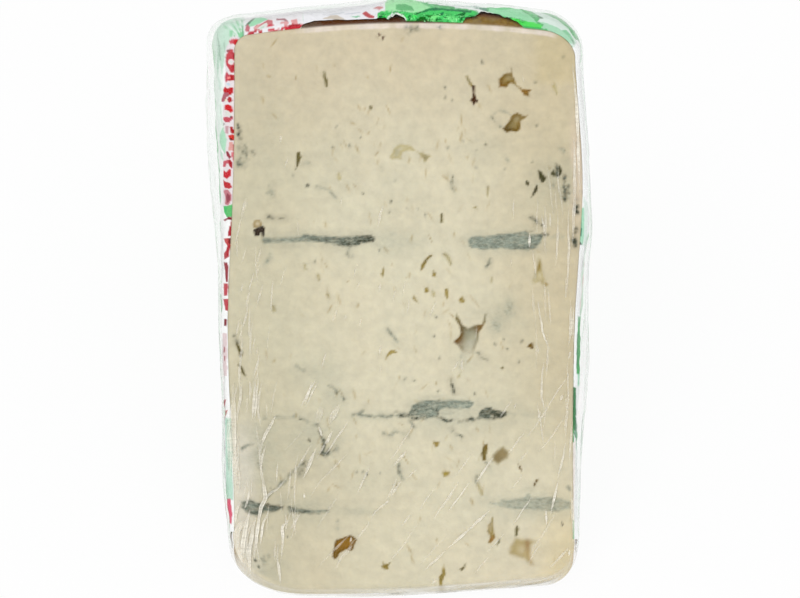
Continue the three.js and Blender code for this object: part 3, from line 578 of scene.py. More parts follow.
def grow_mould(x, up):
    """Strength and darkness of the mould at each point: the strongest of the channels, veins, spots
    and hazes there, each with an edge broken up by soft noise."""
    strength, dark = np.zeros(len(x)), np.zeros(len(x))
    grain = clouds(x, up, 1.1, 21)
    torn_x, torn_up = clouds(x, up, 1.4, 24), clouds(x, up, 1.4, 28)

    def add(at, amount, tone):
        """Lets mould of a tone cover what is weaker."""
        dark[at] = np.where(amount > strength[at], tone, dark[at])
        strength[at] = np.maximum(strength[at], amount)

    for across, along, wide, tall, amount in HAZES:
        haze = amount * soft_oval(x, up, across, along, wide, tall)
        add(slice(None), haze * (1 + 0.6 * clouds(x, up, 3.5, 33)), HAZE_TONE)
    for amount, left, right, outline in CHANNELS:
        at = near(x, up, outline, 3)
        streaks = clouds(x[at] / 4, up[at], 0.9, 37)
        inside = inside_distance(x[at], up[at], outline) + 0.2 * grain[at] + 0.45 * streaks
        ends = pairs(outline)[:, 0]
        tone = left + (right - left) * smooth(x[at], ends.min(), ends.max())
        tone = tone + 0.1 * grain[at] + 0.2 * streaks
        lip = 0.08 * bell((inside - 0.3) / 0.5)
        halo = 0.18 * smooth(inside, -3, -0.2)
        add(at, amount * (smooth(inside, -0.45, 0.3) + lip) + halo, tone + lip)
    for width, amount, tone, path in VEINS:
        at = near(x, up, path, 2.5)
        away = line_distance(x[at] + 0.5 * torn_x[at], up[at] + 0.5 * torn_up[at], path)
        broken = np.clip(0.7 + 1.3 * grain[at], 0.1, 1.4)
        core = broken * bell(away / (width * (1 + 0.5 * grain[at]) + 0.1))
        add(at, amount * (core + 0.2 * bell(away / 1.3)), tone)
    for width, amount, tone, spots in SPOTS:
        for across, along in pairs(spots):
            at = near(x, up, [(across, along)], 3.5 * width)
            aside = x[at] - across + 1.1 * width * torn_x[at]
            above = (up[at] - along) * 0.8 + 0.8 * width * torn_up[at]
            away = np.hypot(aside, above) / width
            blot = 0.9 * bell(away * 1.7) + 0.4 * bell(away)
            add(at, amount * blot * (1 + 0.7 * grain[at]), tone)
    return np.clip(strength, 0, 1), np.clip(dark, 0, 1)


def paste_colour(x, up):
    """Ivory paste with slow clouds, browner towards the rind, and pale again in a thin band along the
    heel's and the right side's rim, where the crust was cut through."""
    slow = clouds(x, up, 26, 51)
    heel_gap = FACE_LENGTH + HEEL_LEAN * x - HEEL_BEND * x * x - up
    right_gap = HALF_WIDTH + RIGHT_BELLY[0] * bell((up - RIGHT_BELLY[1]) / RIGHT_BELLY[2]) - x
    low_left = 0.75 * smooth(clouds(x, up, 9, 79) - x, 35, 42) * smooth(-up, -50, -36)
    low_right = 0.7 * smooth(x + slow, 31, 42) * smooth(slow - up, -34, -6)
    corner = smooth(x + 1.5 * clouds(x, up, 7, 61), 32, 36)
    corner = corner * smooth(up + 1.5 * clouds(x, up, 6, 63), 131, 134)
    by_right = smooth(-right_gap + clouds(x, up, 6, 73), -3.8, -2) * bell((up - 110) / 14)
    by_heel = smooth(-heel_gap + 0.5 * clouds(x, up, 3, 69), -1.9, -1.2) * smooth(x, -30, -24)
    tones = (
        ((202, 195, 167), 0.9 * smooth(3 * slow - x, 8, 38)),  # left
        ((205, 193, 164), 0.95 * smooth(up + 4 * slow, 100, 146)),  # heel
        ((200, 188, 156), 0.92 * smooth(x + 3 * slow, 10, 44) * smooth(up, 20, 60)),  # right
        ((216, 205, 177), 0.6 * smooth(x, 0, 30) * smooth(-up, -40, 0)),  # right of the tip
        ((203, 193, 164), 0.6 * smooth(-x + slow, -14, 26) * smooth(-up, -56, -20)),  # left of the tip
        ((225, 218, 202), low_left),
        ((213, 197, 154), low_right),
        ((199, 185, 146), 0.75 * corner),
        ((224, 206, 184), 0.7 * by_right),
        ((231, 219, 209), np.clip(by_heel * (0.75 + 0.35 * clouds(x, up, 1.8, 65)), 0, 1)),
    )
    colour = np.tile(linear(PASTE), (len(x), 1))
    for rgb, share in tones:
        colour = mix(colour, linear(rgb), share)
    warmth = clouds(x, up, 11, 67)[:, None] * np.array((0.012, -0.004, -0.018))
    smears = 0.03 * clouds(x, up, 6, 71) + 0.02 * clouds(x, up, 1.6, 75) + 0.03 * clouds(x / 4, up, 1.5, 77)
    return colour * (1 + warmth + smears[:, None])


def small_slits(x, up):
    """Depth and cover of seeded fine slits between curds: narrow bells that lean a little off upright,
    kept off the rim, and two of three of them kept nearer to the middle of the face."""
    draw = np.random.default_rng(SLITS_SEED)
    depth, cover = np.zeros(len(x)), np.zeros(len(x))
    for i in range(FINE_SLITS):
        aside, spread, tallness = (0, 0.55, 0.75) if i % 3 else (2, 1.0, 1.0)
        across = draw.uniform(-40, 40) * spread + aside
        along = 78 + draw.uniform(-70, 66) * tallness
        lean, long, wide = draw.normal(0.15, 0.5), draw.uniform(0.5, 1.5), draw.uniform(0.16, 0.34)
        weight = draw.uniform(0.15, 0.75)
        at = near(x, up, [(across, along)], 3)
        right, tall = x[at] - across, up[at] - along
        u = right * math.cos(lean) + tall * math.sin(lean)
        v = tall * math.cos(lean) - right * math.sin(lean)
        shape = weight * bell(np.hypot(u / wide, v / long) ** 1.5)
        depth[at] = np.maximum(depth[at], 0.5 * shape)
        cover[at] = np.maximum(cover[at], shape)
    return depth, cover


def rear_eyes():
    """Eyes of the rear cut face, drawn by the same rule as its solid's: leaning ovals."""
    state, rim, count = 71, 9.0, 14

    def draw():
        nonlocal state
        state = (state * 1664525 + 1013904223) % 2**32
        return state / 2**32

    eyes = []
    for i in range(count):
        width = 1.2 + 4 * draw() ** 2
        x = (draw() - 0.5) * 2 * (HALF_WIDTH - rim)
        up = rim + ((i + 0.2 + 0.6 * draw()) / count) * (FACE_LENGTH - 2 * rim)
        height = width * (0.8 + 1.2 * draw())
        lean = math.radians((draw() - 0.5) * 90)
        turn = np.linspace(0, 2 * math.pi, 13)[:-1]
        flat, tall = width / 2 * np.cos(turn), height / 2 * np.sin(turn)
        across = x - (flat * math.cos(lean) - tall * math.sin(lean))
        outline = np.stack((across, up + flat * math.sin(lean) + tall * math.cos(lean)), -1)
        eyes.append(("ochre", 1.2 + 0.4 * width, outline))
    return eyes


def face_grid(rim, cells):
    """Across and up at the points of a grid that fills a cut face inside its rounded edge."""
    inset = rim[:, :2] - np.minimum(EDGE_ROUND, thickness(rim) / 2)[:, None] * rim[:, 2:]
    return fill_rim(inset, *cells).reshape(-1, 2).T


def face_points(rim, cells, eyes, mirrored):
    """Points, colours and marks of a cut face. Columns of the marks: mould, its darkness, rind."""
    x, up = face_grid(rim, cells)
    steps = [np.minimum(np.arange(n + 1), n - np.arange(n + 1)) for n in cells]
    from_rim = np.minimum(steps[1][:, None], steps[0][None]).ravel() * FACE_SPAN / cells[0]
    inner = smooth(from_rim, 0, 3)
    depth, eye_colour, cover = carve_eyes(x, up, eyes)
    fine_depth, fine_cover = small_slits(x, up)
    seen_x = -x if mirrored else x
    strength, dark = grow_mould(seen_x, up)
    relief = 0.1 * clouds(x, up, 9, 81) + 0.05 * clouds(x, up, 2.2, 85) - 0.25 * strength * (strength > 0.4)
    height = inner * (relief - fine_depth) - depth
    colour = mix(paste_colour(seen_x, up), linear(SLIT), 0.75 * fine_cover)
    colour = mix(colour, eye_colour, cover)
    marks = np.stack((strength * (1 - 0.8 * cover), dark, np.zeros(len(x))), -1)
    turn, out = (0, DOWN) if mirrored else (WEDGE_ANGLE, OUT_OF_FACE)
    return place(x, up, turn) + height[:, None] * out, colour, marks


def rind_points(rim, depths, ring_colour):
    """Points, colours and marks of flank rows. Behind the rim the paste's colour passes into rind,
    brown over the heel, pinkish on the right and pale on the left. The tip has none, because there
    the paste runs through."""
    rows, directions = flank_rows(rim, depths)
    along = np.cumsum(np.hypot(*(rim[:, :2] - np.roll(rim[:, :2], 1, 0)).T))
    u, v = np.broadcast_to(along, depths.shape), depths
    from_rim = np.minimum(v, thickness(rim) - v)
    rough = smooth(from_rim, 0.8, 4)
    rows = rows + (rough * 0.3 * clouds(u, v, 7, 91))[..., None] * directions
    is_heel = rim[:, 3] > 0.6
    bare = is_heel & (rim[:, 0] > -26.5)  # where the foil is torn, the rind begins sooner
    behind = smooth(from_rim + np.where(bare, 0, 0.5) * clouds(u, v, 4, 95),
                    np.where(bare, 0.25, 0.5), np.where(bare, 0.55, 1.7))
    wheel_side = smooth(np.maximum(np.abs(rim[:, 2]), rim[:, 3]), 0.5, 0.9) * smooth(rim[:, 1], 8, 15)
    rind = (behind * wheel_side).ravel()
    heel = mix(linear(HEEL_DARK)[None], linear(HEEL_PALE)[None], smooth(rim[:, 0], 2, 14))
    side = np.where(rim[:, 2:3] > 0, linear(RIND_RIGHT), linear(RIND_LEFT))
    colour = np.broadcast_to(np.where(is_heel[:, None], heel, side), (*depths.shape, 3)).reshape(-1, 3)
    reddish = smooth(v, 1.6, 4) * bare * smooth(rim[:, 0], 10, 14)
    colour = mix(colour, linear(HEEL_RED), reddish.ravel())
    colour = colour * (1 + 0.25 * clouds(u, v, 5, 97).ravel())[:, None]
    paste = np.broadcast_to(ring_colour, (*depths.shape, 3)).reshape(-1, 3)
    marks = np.stack((0.15 * rind * (clouds(u, v, 8, 99).ravel() > 0.3), 0.3 + 0 * rind, rind), -1)
    return rows.reshape(-1, 3), mix(paste, colour, rind), marks


def add_piece(name, points, faces, colours=None, values=None, maps=None):
    """A smooth mesh of points in the wheel's own millimetres and groups of faces, riding on the
    part's one body. Its attributes are colours, single values, and maps of two columns, by name, a
    row for each point."""
    mesh = bpy.data.meshes.new(name)
    corner_lists = [face for group in faces for face in group.tolist()]
    mesh.from_pydata(((points + AXIS) / 1000).tolist(), [], corner_lists)
    mesh.shade_smooth()
    for label, rows in (colours or {}).items():
        layer = mesh.color_attributes.new(label, "FLOAT_COLOR", "POINT")
        layer.data.foreach_set("color", np.concatenate((rows, np.ones((len(rows), 1))), 1).ravel())
    for label, rows in (values or {}).items():
        mesh.attributes.new(label, "FLOAT", "POINT").data.foreach_set("value", rows)
    corners = np.zeros(len(mesh.loops), int)
    mesh.loops.foreach_get("vertex_index", corners)
    for label, rows in (maps or {}).items():
        mesh.uv_layers.new(name=label).data.foreach_set("uv", rows[corners].ravel())
    piece = bpy.data.objects.new(name, mesh)
    bpy.context.scene.collection.objects.link(piece)
    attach(piece, "root")
    return piece


class Shader:
    """A new material and ways to add nodes to it. Most of them give the socket that others read."""

    def __init__(self, name):
        self.material = bpy.data.materials.new(name)
        self.material.use_nodes = True
        self.tree = self.material.node_tree
        self.tree.nodes.clear()

    def add(self, kind, settings=None, **inputs):
        """A node with its settings. An input is a value or the socket that feeds it, by its name
        with _ for a space, or by its number after an i."""
        node = self.tree.nodes.new("ShaderNode" + kind)
        for key, value in (settings or {}).items():
            setattr(node, key, value)
        for key, value in inputs.items():
            by_number = key[0] == "i" and key[1:].isdigit()
            socket = node.inputs[int(key[1:]) if by_number else key.replace("_", " ")]
            if isinstance(value, bpy.types.NodeSocket):
                self.tree.links.new(value, socket)
            else:
                socket.default_value = value
        return node

    def math(self, operation, first, second=0.0, clamp=False):
        """The first and the second value under an operation."""
        settings = {"operation": operation, "use_clamp": clamp}
        return self.add("Math", settings, i0=first, i1=second).outputs[0]

    def blend(self, share, first, second, kind="MIX"):
        """From one colour to another by a share."""
        settings = {"data_type": "RGBA", "blend_type": kind}
        return self.add("Mix", settings, i0=share, i6=first, i7=second).outputs[2]

    def ramp(self, value, low, high, bottom, top):
        """Bottom up to low, top from high, and straight between them."""
        return self.add("MapRange", i0=value, i1=low, i2=high, i3=bottom, i4=top).outputs[0]

    def noise(self, spot, per_metre, detail, rough):
        """Height of a noise with that many cells a metre."""
        inputs = {"Vector": spot, "Scale": per_metre, "Detail": detail, "Roughness": rough}
        return self.add("TexNoise", **inputs).outputs[0]

    def mapped(self, spot, scale=1.0, offset=0.0):
        """A place with its first measure scaled and moved."""
        inputs = {"Location": (offset, 0.0, 0.0), "Scale": (scale, 1.0, 1.0)}
        return self.add("Mapping", Vector=spot, **inputs).outputs[0]

    def attribute(self, name, output="Fac"):
        """A value, or a colour, that the mesh holds for each point."""
        return self.add("Attribute", {"attribute_name": name}).outputs[output]

    def finish(self, surface):
        """The material, with the surface joined to its output."""
        self.add("OutputMaterial", Surface=surface.outputs[0])
        return self.material


def opaque(rgb):
    """A screen colour as a socket's value."""
    return (*linear(rgb), 1.0)


def paste_material():
    """Ivory paste with grains of mould where the marks say so, damp and slightly translucent, and a
    rough mottled rind."""
    shader = Shader("blue_cheese_paste")
    spot = shader.add("TexCoord").outputs["Object"]
    marks = shader.attribute("marks", "Color")
    mould, dark, rind = shader.add("SeparateColor", Color=marks).outputs
    drawn_out = shader.mapped(spot, 0.55)
    grains = shader.noise(drawn_out, 1100, 3, 0.6)
    specks = shader.noise(drawn_out, 1900, 2, 0.5)
    curd = shader.noise(spot, 420, 4, 0.6)
    crust = shader.noise(spot, 900, 4, 0.7)
    cover = shader.math("MULTIPLY", mould, shader.ramp(grains, 0.35, 0.65, 0.75, 1.15), clamp=True)
    darkness = shader.math("ADD", dark, shader.ramp(specks, 0.35, 0.65, -0.16, 0.2), clamp=True)
    mould_colour = shader.blend(darkness, opaque(MOULD_PALE), opaque(MOULD_DARK))
    mottle = shader.ramp(curd, 0.3, 0.7, 0.93, 1.07)
    brightness = shader.add("CombineColor", Red=mottle, Green=mottle, Blue=mottle).outputs[0]
    ground = shader.blend(1.0, shader.attribute("paint", "Color"), brightness, "MULTIPLY")
    crust_cover = shader.math("MULTIPLY", shader.ramp(crust, 0.35, 0.7, 0.0, 0.6), rind)
    ground = shader.blend(crust_cover, ground, opaque(CRUST))
    colour = shader.blend(cover, ground, mould_colour)
    relief = shader.math("ADD", curd, shader.math("MULTIPLY", grains, 0.35))
    relief = shader.math("ADD", relief, shader.math("MULTIPLY", crust, rind))
    bump = shader.add("Bump", Strength=0.35, Distance=0.0004, Height=relief).outputs[0]
    damp = shader.ramp(curd, 0.3, 0.7, 0.42, 0.6)
    gloss = shader.ramp(rind, 0.0, 0.3, 0.3, 0.0)
    return shader.finish(shader.add(
        "BsdfPrincipled", Base_Color=colour, Roughness=damp, Normal=bump, Specular_IOR_Level=gloss,
        Subsurface_Weight=0.15, Subsurface_Radius=(1.0, 0.8, 0.55), Subsurface_Scale=0.0006))


def build_cheese():
    """Front face on a fine grid, its rim rings, a ring that passes from three points to one, for
    which COARSER has to be 3, then the flank and the rear face on the coarse grid, as one mesh."""
    cells = tuple(n // COARSER for n in FACE_CELLS)
    front = face_points(fine_rim, FACE_CELLS, EYES, False)
    rear = face_points(coarse_rim, cells, rear_eyes(), True)
    front_grid = grid_numbers(0, *FACE_CELLS)
    edge_colour = front[1][grid_ring(front_grid)]
    fine_depths = np.stack([nominal(fine_rim, d) for d in RIM_DEPTHS])
    whole = thickness(coarse_rim)
    front_half = [nominal(coarse_rim, d) for d in FLANK_DEPTHS]
    rear_half = [whole - nominal(coarse_rim, d) for d in (RIM_DEPTHS + FLANK_DEPTHS)[::-1]]
    coarse_depths = np.stack([*front_half, whole / 2, *rear_half])
    fine_rings = rind_points(fine_rim, fine_depths, edge_colour)
    coarse_rings = rind_points(coarse_rim, coarse_depths, edge_colour[::COARSER])
    parts = (front, fine_rings, coarse_rings, rear)
    points, paint, marks = (np.concatenate(columns) for columns in zip(*parts))
    starts = np.cumsum([0] + [len(part[0]) for part in parts])
    fine_rows = starts[1] + np.arange(fine_depths.size).reshape(fine_depths.shape)
    fine_rows = np.concatenate((grid_ring(front_grid)[None], fine_rows))
    coarse_rows = starts[2] + np.arange(coarse_depths.size).reshape(coarse_depths.shape)
    rear_grid = grid_numbers(starts[3], *cells)
    coarse_rows = np.concatenate((coarse_rows, grid_ring(rear_grid)[None]))
    first, second, third = (fine_rows[-1][k::COARSER] for k in range(COARSER))
    b, c = coarse_rows[0], np.roll(coarse_rows[0], -1)
    faces = [grid_faces(front_grid), band_faces(fine_rows), np.stack((second, third, c, b), -1),
             band_faces(coarse_rows), grid_faces(rear_grid)[:, ::-1],
             np.stack((first, second, b), -1), np.stack((third, np.roll(first, -1), c), -1)]
    return add_piece("cheese_paste", points, faces, {"paint": paint, "marks": marks})


cheese = build_cheese()
cheese.data.materials.append(paste_material())
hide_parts("cheese")


# ---------------------------------------------------------------- the foil
# Printed aluminium foil that wrapped the wheel, thin as paper. It clings to the rind on the left
# side, over the heel and down the right side, crumpled, and the knife left its front edge torn:
# brown rind shows where it tore back. Its print is green, with a red and white border.

WRAP_CELLS = (140, 234)  # cells of the rim across and along, 0.6 mm each
FINER = 3  # the front strip's cells are this many times finer
FOIL_ENDS = (16.0, 14.0)  # how far above the tip it ends, left and right
FOIL_EDGE, FOIL_REAR = 0.3, 2.4  # its edges lie this far behind the front rim and before the rear
STRIP, STRIP_ROWS, FOIL_ROWS = 6.6, 23, 56  # the strip's width, its rows, and the rows behind it
FOIL_LIFT, FOIL_SHEET = 0.12, 0.08  # how far it stands off the rind, and its thickness
TORN_EDGE = {  # by side: where along it, how far the foil tore back behind the rim
    "heel": ((-27, 0.3), (-25.9, 0.95), (-23, 1.6), (-18, 1.5), (-15, 1.15), (-5, 1), (-4, 0.7), (-3, 1.2),
     (-2.2, 1.5), (-1, 1.3), (0, 0.9), (0.6, 0.4), (15.2, 0.4), (16, 1.2), (18.3, 1.7), (19.2, 3.2),
     (20.2, 4.4), (22.2, 3.8), (24.8, 3), (27.4, 1.9), (29.5, 0.9), (31, 0.3)),
}
BULGES = (  # side, where along it, how long, how far the foil stands out
    ("left", 126, 26, 1.5), ("left", 33, 13, 1.1), ("right", 96, 6, 0.7), ("right", 62, 9, 0.6),
    ("heel", 0, 8, 1.6),
)
CORNER_OUT = 1.8  # how far the gathered fold stands out at the corner of the left side and the heel
CRUMPLED = ("heel", -7.0, 31.0)  # where its edge is crumpled most
CAMERA_AT = (-1.03, 76.3, 1500.0)  # millimetres across, up and out from the cut face
BORDER_DEPTH, BORDER_HALF, BORDER_CELL = 52.0, 4.2, 13.0  # behind the rim, half width, repeat
BORDER_WHITE, BORDER_RED = (240, 238, 240), (196, 22, 36)
# Green print, its facets painted lighter where lit, its folds painted with shade, and its dots.
GREEN, GREEN_PAINTED_LIGHT, GREEN_PAINTED_FOLD_SHADE, GREEN_DOT = (26, 142, 62), (112, 222, 140), (20, 112, 52), (22, 96, 50)
DOT_CELL, DOT_REACH = 1.5, 0.2  # how far apart the dots are, and half a dot as a share of that
FACETS_PER_METRE = 95
PAINTED_GLINTS_AND_SHADE = (  # painted glints and painted shade flecked where the foil is crumpled: seed, grains a metre, from which height, colour, how strong
    (0, 1300, 0.53, (16, 96, 44), 0.85),
    (9, 1100, 0.58, (160, 252, 172), 0.8),
)

# The print where it shows beside the cut face: plain fields of colour, each an outline across and
# up as it lines up with the face. Later ones lie on earlier ones. A few fields are painted light and
# shade: a pink highlight on a red bead, grey shade streaks of the film's folds, glints and dark folds
# of the crumpled foil over the heel, and the shadow of the torn edge on the right.
PRINT_AND_PAINTED_LIGHT = (
    ((250, 251, 250), (-54.1,143.8, -46,143.8, -46,138.1, -46.3,130.4, -46.8,126.8, -46.8,120.6,
     -46.3,114.9, -46.6,100.9, -42.9,100.9, -42.9,-1.6, -54.1,-1.6)),
    ((250, 251, 251), (43.5,143.3, 53.3,143.3, 53.3,-1.6, 40.4,-1.6, 42.9,8.8, 44,14)),
    ((236, 246, 239), (-50.4,138.1, -46.6,138.1, -46.8,126.8, -47.1,114.9, -47.7,114.9, -48.6,125.2,
     -49.4,133)),
    ((228, 241, 233), (46.4,103, 47.6,100.9, 47.3,90, 46.5,90)),
    ((229, 222, 226), (-46,143.8, -43.2,143.8, -43.5,100.4, -46.6,100.4, -46.7,114.9, -46.3,130.4)),
    ((72, 192, 104), (-46.7,100.6, -44,101.2, -44,97.8, -45.8,97.5, -46.6,98.8)),
    ((234, 225, 227), (-45.5,144.1, -42.9,144.4, -42.2,143.6, -43.5,141.5, -43.2,120, -42.7,118.5,
     -42.7,114.9, -43.5,112, -44,110.2, -44.2,100.4, -46.8,100.4, -46.8,112.3, -46,114.9, -45.8,117.4,
     -46.6,120, -46.8,122.1, -46.8,126.8, -47.3,127.8, -46.6,130.4, -46.3,131.9, -46.3,138.1, -45.8,140.7)),
    ((206, 78, 92), (-45.2,143.1, -44.5,143.5, -44,143.6, -44,142.3, -45.1,142.3)),
    ((198, 12, 26), (-44.2,143.5, -42.8,143.7, -42.9,142.8, -43.7,141.9, -44.1,142.3)),
    ((150, 80, 86), (-45.9,140.6, -45.3,141, -44.5,140.9, -44.8,140.2, -45.7,140.2)),
    ((198, 64, 74), (-44.6,141.2, -43.9,140, -43.7,138.8, -43.7,136.4, -43.9,135, -44.7,134.8, -45.5,135.9,
     -46,137.3, -46.2,138.8, -45.6,140, -45,140.6)),
    ((150, 16, 28), (-44.5,140.1, -43.8,139.2, -43.8,138.4, -44.3,138.7)),
    ((184, 38, 48), (-44.7,137, -43.8,137, -43.9,135.3, -44.8,135.3)),
    ((235, 222, 222), (-44.7,138.4, -44.1,138.2, -43.9,137.6, -44.1,137.1, -44.7,136.8, -45.3,137.1,
     -45.5,137.6, -45.3,138.2)),
    ((204, 224, 218), (-44.7,137.9, -44.4,137.6, -44.7,137.3, -45,137.6)),
    ((198, 72, 86), (-46,135.2, -45.3,134.3, -43.8,134.3, -43.8,132.8, -45.6,132.7, -46.2,132.2,
     -46.3,133.7)),
    ((178, 12, 16), (-45.2,133.6, -44.8,134.1, -43.9,134.2, -44,132.8, -45.5,132.9)),
    # painted highlight on a red bead
    ((250, 132, 128), (-45.6,133.8, -44.9,133.8, -45.2,133.2, -45.7,133.2)),
    ((198, 216, 226), (-45.8,132.1, -45.3,132.2, -44.9,131.8, -45.3,131.4, -45.8,131.5)),
    ((192, 10, 24), (-46.3,131.3, -45.8,130.7, -45.4,130.8, -45,131.1, -44.2,130.9, -44.2,129.8,
     -44.8,129.1, -45.7,129.4, -46.5,129.1, -46.7,130.4)),
    ((176, 92, 104), (-46.5,129.7, -45.5,129.7, -44.9,129.1, -45.9,128.5, -46.5,127.4, -47.2,127.4,
     -47,128.6)),
    ((240, 236, 204), (-46.2,128.1, -45.8,127.8, -46.2,127.4, -46.4,127.8)),
    ((180, 34, 40), (-45.8,128, -45.3,128.7, -44.5,128.4, -44.4,127.5, -45.1,127.1, -45.6,127.4)),
    ((206, 12, 24), (-46.3,126.5, -45.5,126.7, -44.5,126.2, -44.3,125, -44.7,124.3, -45.4,124.9,
     -46.5,125.3)),
    ((222, 224, 216), (-46.4,124.8, -45.6,125, -44.9,124.4, -44.8,123.8, -45.5,123.5, -46.3,123.8)),
    ((198, 80, 94), (-46.6,123.4, -45.8,123.3, -45.2,123.2, -44.3,123.7, -44.4,122.8, -45.1,122,
     -46.2,122.1, -46.8,122.6)),
    ((66, 26, 20), (-45.1,123.5, -44.6,123.7, -44.5,123.2, -44.9,123)),
    ((110, 100, 102), (-46.6,121.8, -46.3,121.7, -46.4,121.3, -46.6,121.4)),
    ((202, 160, 166), (-46.2,121.1, -45.3,121.1, -45.4,119, -46.3,119.2)),
    ((172, 18, 24), (-45.1,121, -44.4,120.9, -43.9,119.8, -44,118.7, -44.8,119.4)),
    ((210, 46, 34), (-45.5,118.6, -44.5,118.9, -43.2,118.3, -43.5,117.5, -44.8,117.2, -45.3,117.7)),
    ((110, 16, 10), (-45.3,118, -44.5,117.9, -44.3,117.3, -45.1,117.4)),
    ((222, 160, 152), (-45.3,116.9, -44.4,116.9, -44.4,114.8, -45.4,114.6)),
    ((194, 116, 110), (-44.3,116.3, -43.2,116.1, -43,114.5, -44.2,114.5)),
    ((150, 48, 62), (-46.1,114.5, -45.5,114.5, -44.8,113, -45.2,112.4, -45.9,113.3)),
    ((216, 118, 124), (-44.5,114.3, -43.4,114.5, -43.4,113, -44.1,112, -44.7,113.3)),
    ((198, 90, 102), (-46.8,111.9, -45.8,112.3, -44.8,112.2, -44.3,111.3, -44.5,110.1, -45.2,110.7,
     -45.4,111.3, -45.9,111.3, -46.2,110.5, -46.8,110.5)),
    ((172, 18, 36), (-45.5,112.2, -44.7,112.2, -44.3,111.1, -44.6,109.9, -45.1,110.7)),
    ((202, 30, 46), (-46.7,109.6, -46.1,109.1, -45.2,109.9, -44.7,109.6, -44.8,108.1, -45.9,107.4,
     -46.7,107.9)),
    ((192, 34, 44), (-46.8,107.1, -46.1,106.6, -44.8,106.3, -44.6,105.2, -45.2,104.8, -46.4,105.1,
     -46.7,105.8)),
    ((198, 122, 132), (-46.4,104.6, -45.6,104.6, -44.6,103.3, -44.8,101.8, -45.5,100.5, -46.3,100.8,
     -46.2,102.7, -46.7,103.9)),
    ((150, 60, 76), (-45.9,103.7, -45,103.1, -45,101.9, -45.8,101, -46,102.5)),
    ((178, 224, 194), (-46.9,120.8, -46.3,119.3, -45.9,117.4, -46.1,114.9, -46.4,113.7, -47.1,115.1,
     -47.7,116.9, -47.7,118.7)),
    ((204, 230, 214), (-47.6,115.2, -46.8,113.6, -46.7,112, -47.2,112.3)),
    ((212, 232, 220), (-47.9,134, -47.3,131.9, -47.2,129.9, -47.8,130.6, -48.2,133)),
    ((206, 228, 214), (-47.6,127.3, -47.1,124.7, -47,121.1, -47.4,122.4, -47.7,125.2)),
    ((98, 192, 112), (-45.5,100.5, -44.2,100.9, -44.2,97.5, -45.8,97.9, -45.9,99.6)),
    ((150, 44, 60), (-46.7,96.8, -45.3,97.6, -43.7,97.5, -43.9,96.8, -45.3,97, -46.3,96.4)),
    ((120, 16, 30), (-45.6,97.6, -44.4,97.5, -44.5,96.7, -45.4,96.9)),
    ((172, 20, 40), (-44.6,96.7, -43.9,96.7, -44.5,92.6, -45.6,92.6, -45.3,94.4)),
    ((196, 66, 66), (-46.7,91.9, -44.7,92.2, -44.7,89.9, -45.5,89.8, -46.2,90.8)),
    ((120, 20, 26), (-45.4,92.1, -44.8,92.1, -44.9,90.5, -45.4,90.6)),
    ((178, 36, 48), (-45.7,90.3, -44.8,90.3, -45.2,87.3, -46.5,86.5, -46.6,88.2, -46,88.8)),
    ((150, 40, 52), (-46.6,85.8, -45.6,85.8, -45.4,80.6, -46.1,80.6, -46.3,83.6)),
    ((192, 70, 80), (-46.7,80.3, -45.4,80.3, -45.6,77.2, -46.6,77.2)),
    ((190, 66, 76), (-46.7,76.3, -45.5,76.3, -45.5,73.2, -46.2,73.3)),
    ((130, 30, 42), (-46.6,71.1, -45.7,71.1, -46,69.2, -46.6,69.4)),
    ((226, 206, 206), (-46.9,67.5, -45.8,67.5, -45.8,56.4, -46.7,56.4)),
    ((170, 90, 96), (-46.6,63.9, -46.3,63.9, -46.3,62.6, -46.6,62.6)),
    ((176, 100, 104), (-46.6,61.6, -46.3,61.6, -46.3,60.3, -46.6,60.3)),
    ((190, 90, 92), (-46.8,50.2, -46,50.2, -46.3,48.6, -46.8,48.6)),
    ((202, 122, 112), (-46.8,47.3, -45.6,47.7, -45.9,46.6, -46.5,45.5, -46.8,45.8)),
    ((186, 224, 203), (-46.3,45.5, -44.5,45.5, -44.2,24.3, -46,24.3)),
    ((112, 176, 146), (-45.9,45, -45.5,45, -45.4,39.8, -45,36.7, -45.2,31, -45.7,33.1, -45.5,38.3)),
    ((96, 160, 126), (-45,42.9, -44.6,42.9, -44.8,38.3, -45.1,39.8)),
    ((222, 78, 110), (-46,24.6, -44.9,24.6, -44.4,20.4, -44.7,18, -45.4,18.9, -46,21.2)),
    ((200, 228, 210), (-49.2,146.9, -47.1,148.2, -44.5,149.3, -41.5,149.8, -41.5,144.1, -42.4,143.6,
     -43.5,144.5, -45,144, -45.5,142.3, -46,141.5, -46.7,136.6, -47.2,134.3, -47.7,138.1, -48.2,133,
     -48.6,137.6, -49.3,140.7, -49.4,143.3)),
    ((132, 206, 152), (-42.4,146.4, -41.6,146.7, -41.6,144.1, -42.4,143.8, -43.2,144.6)),
    ((140, 200, 158), (-42.6,144.9, -44.8,148.2, -44.9,148.1, -42.8,144.7)),
    ((150, 206, 166), (-42.2,145.4, -43.4,148.8, -43.5,148.7, -42.4,145.1)),
    ((156, 208, 170), (-43.2,144.6, -46.6,147.2, -46.7,147, -43.4,144.5)),
    ((232, 242, 235), (-42.3,145.1, -44.1,148.6, -44.3,148.5, -42.5,145)),
    ((228, 240, 232), (-42.9,144.6, -45.7,147.8, -45.9,147.7, -43.2,144.5)),
    ((176, 214, 188), (-44.2,144.1, -47.9,145.9, -47.9,145.6, -44.5,144)),
    ((120, 176, 138), (-41.5,144.4, -41.9,148.5, -42.1,148.5, -41.8,144.4)),
    ((236, 244, 238), (-41.9,145.6, -42.4,149, -42.7,149, -42.1,145.5)),
    ((168, 196, 178), (-48.5,145.9, -47.6,141.8, -47.3,138.1, -47.7,138.1, -48,141.8)),
    ((176, 204, 186), (-46.5,144.9, -46.2,141.3, -46.4,138.7, -46.7,141.8)),
    ((150, 212, 168), (-45.1,145.9, -44.2,145.6, -44.5,144.4, -45.1,144.1)),
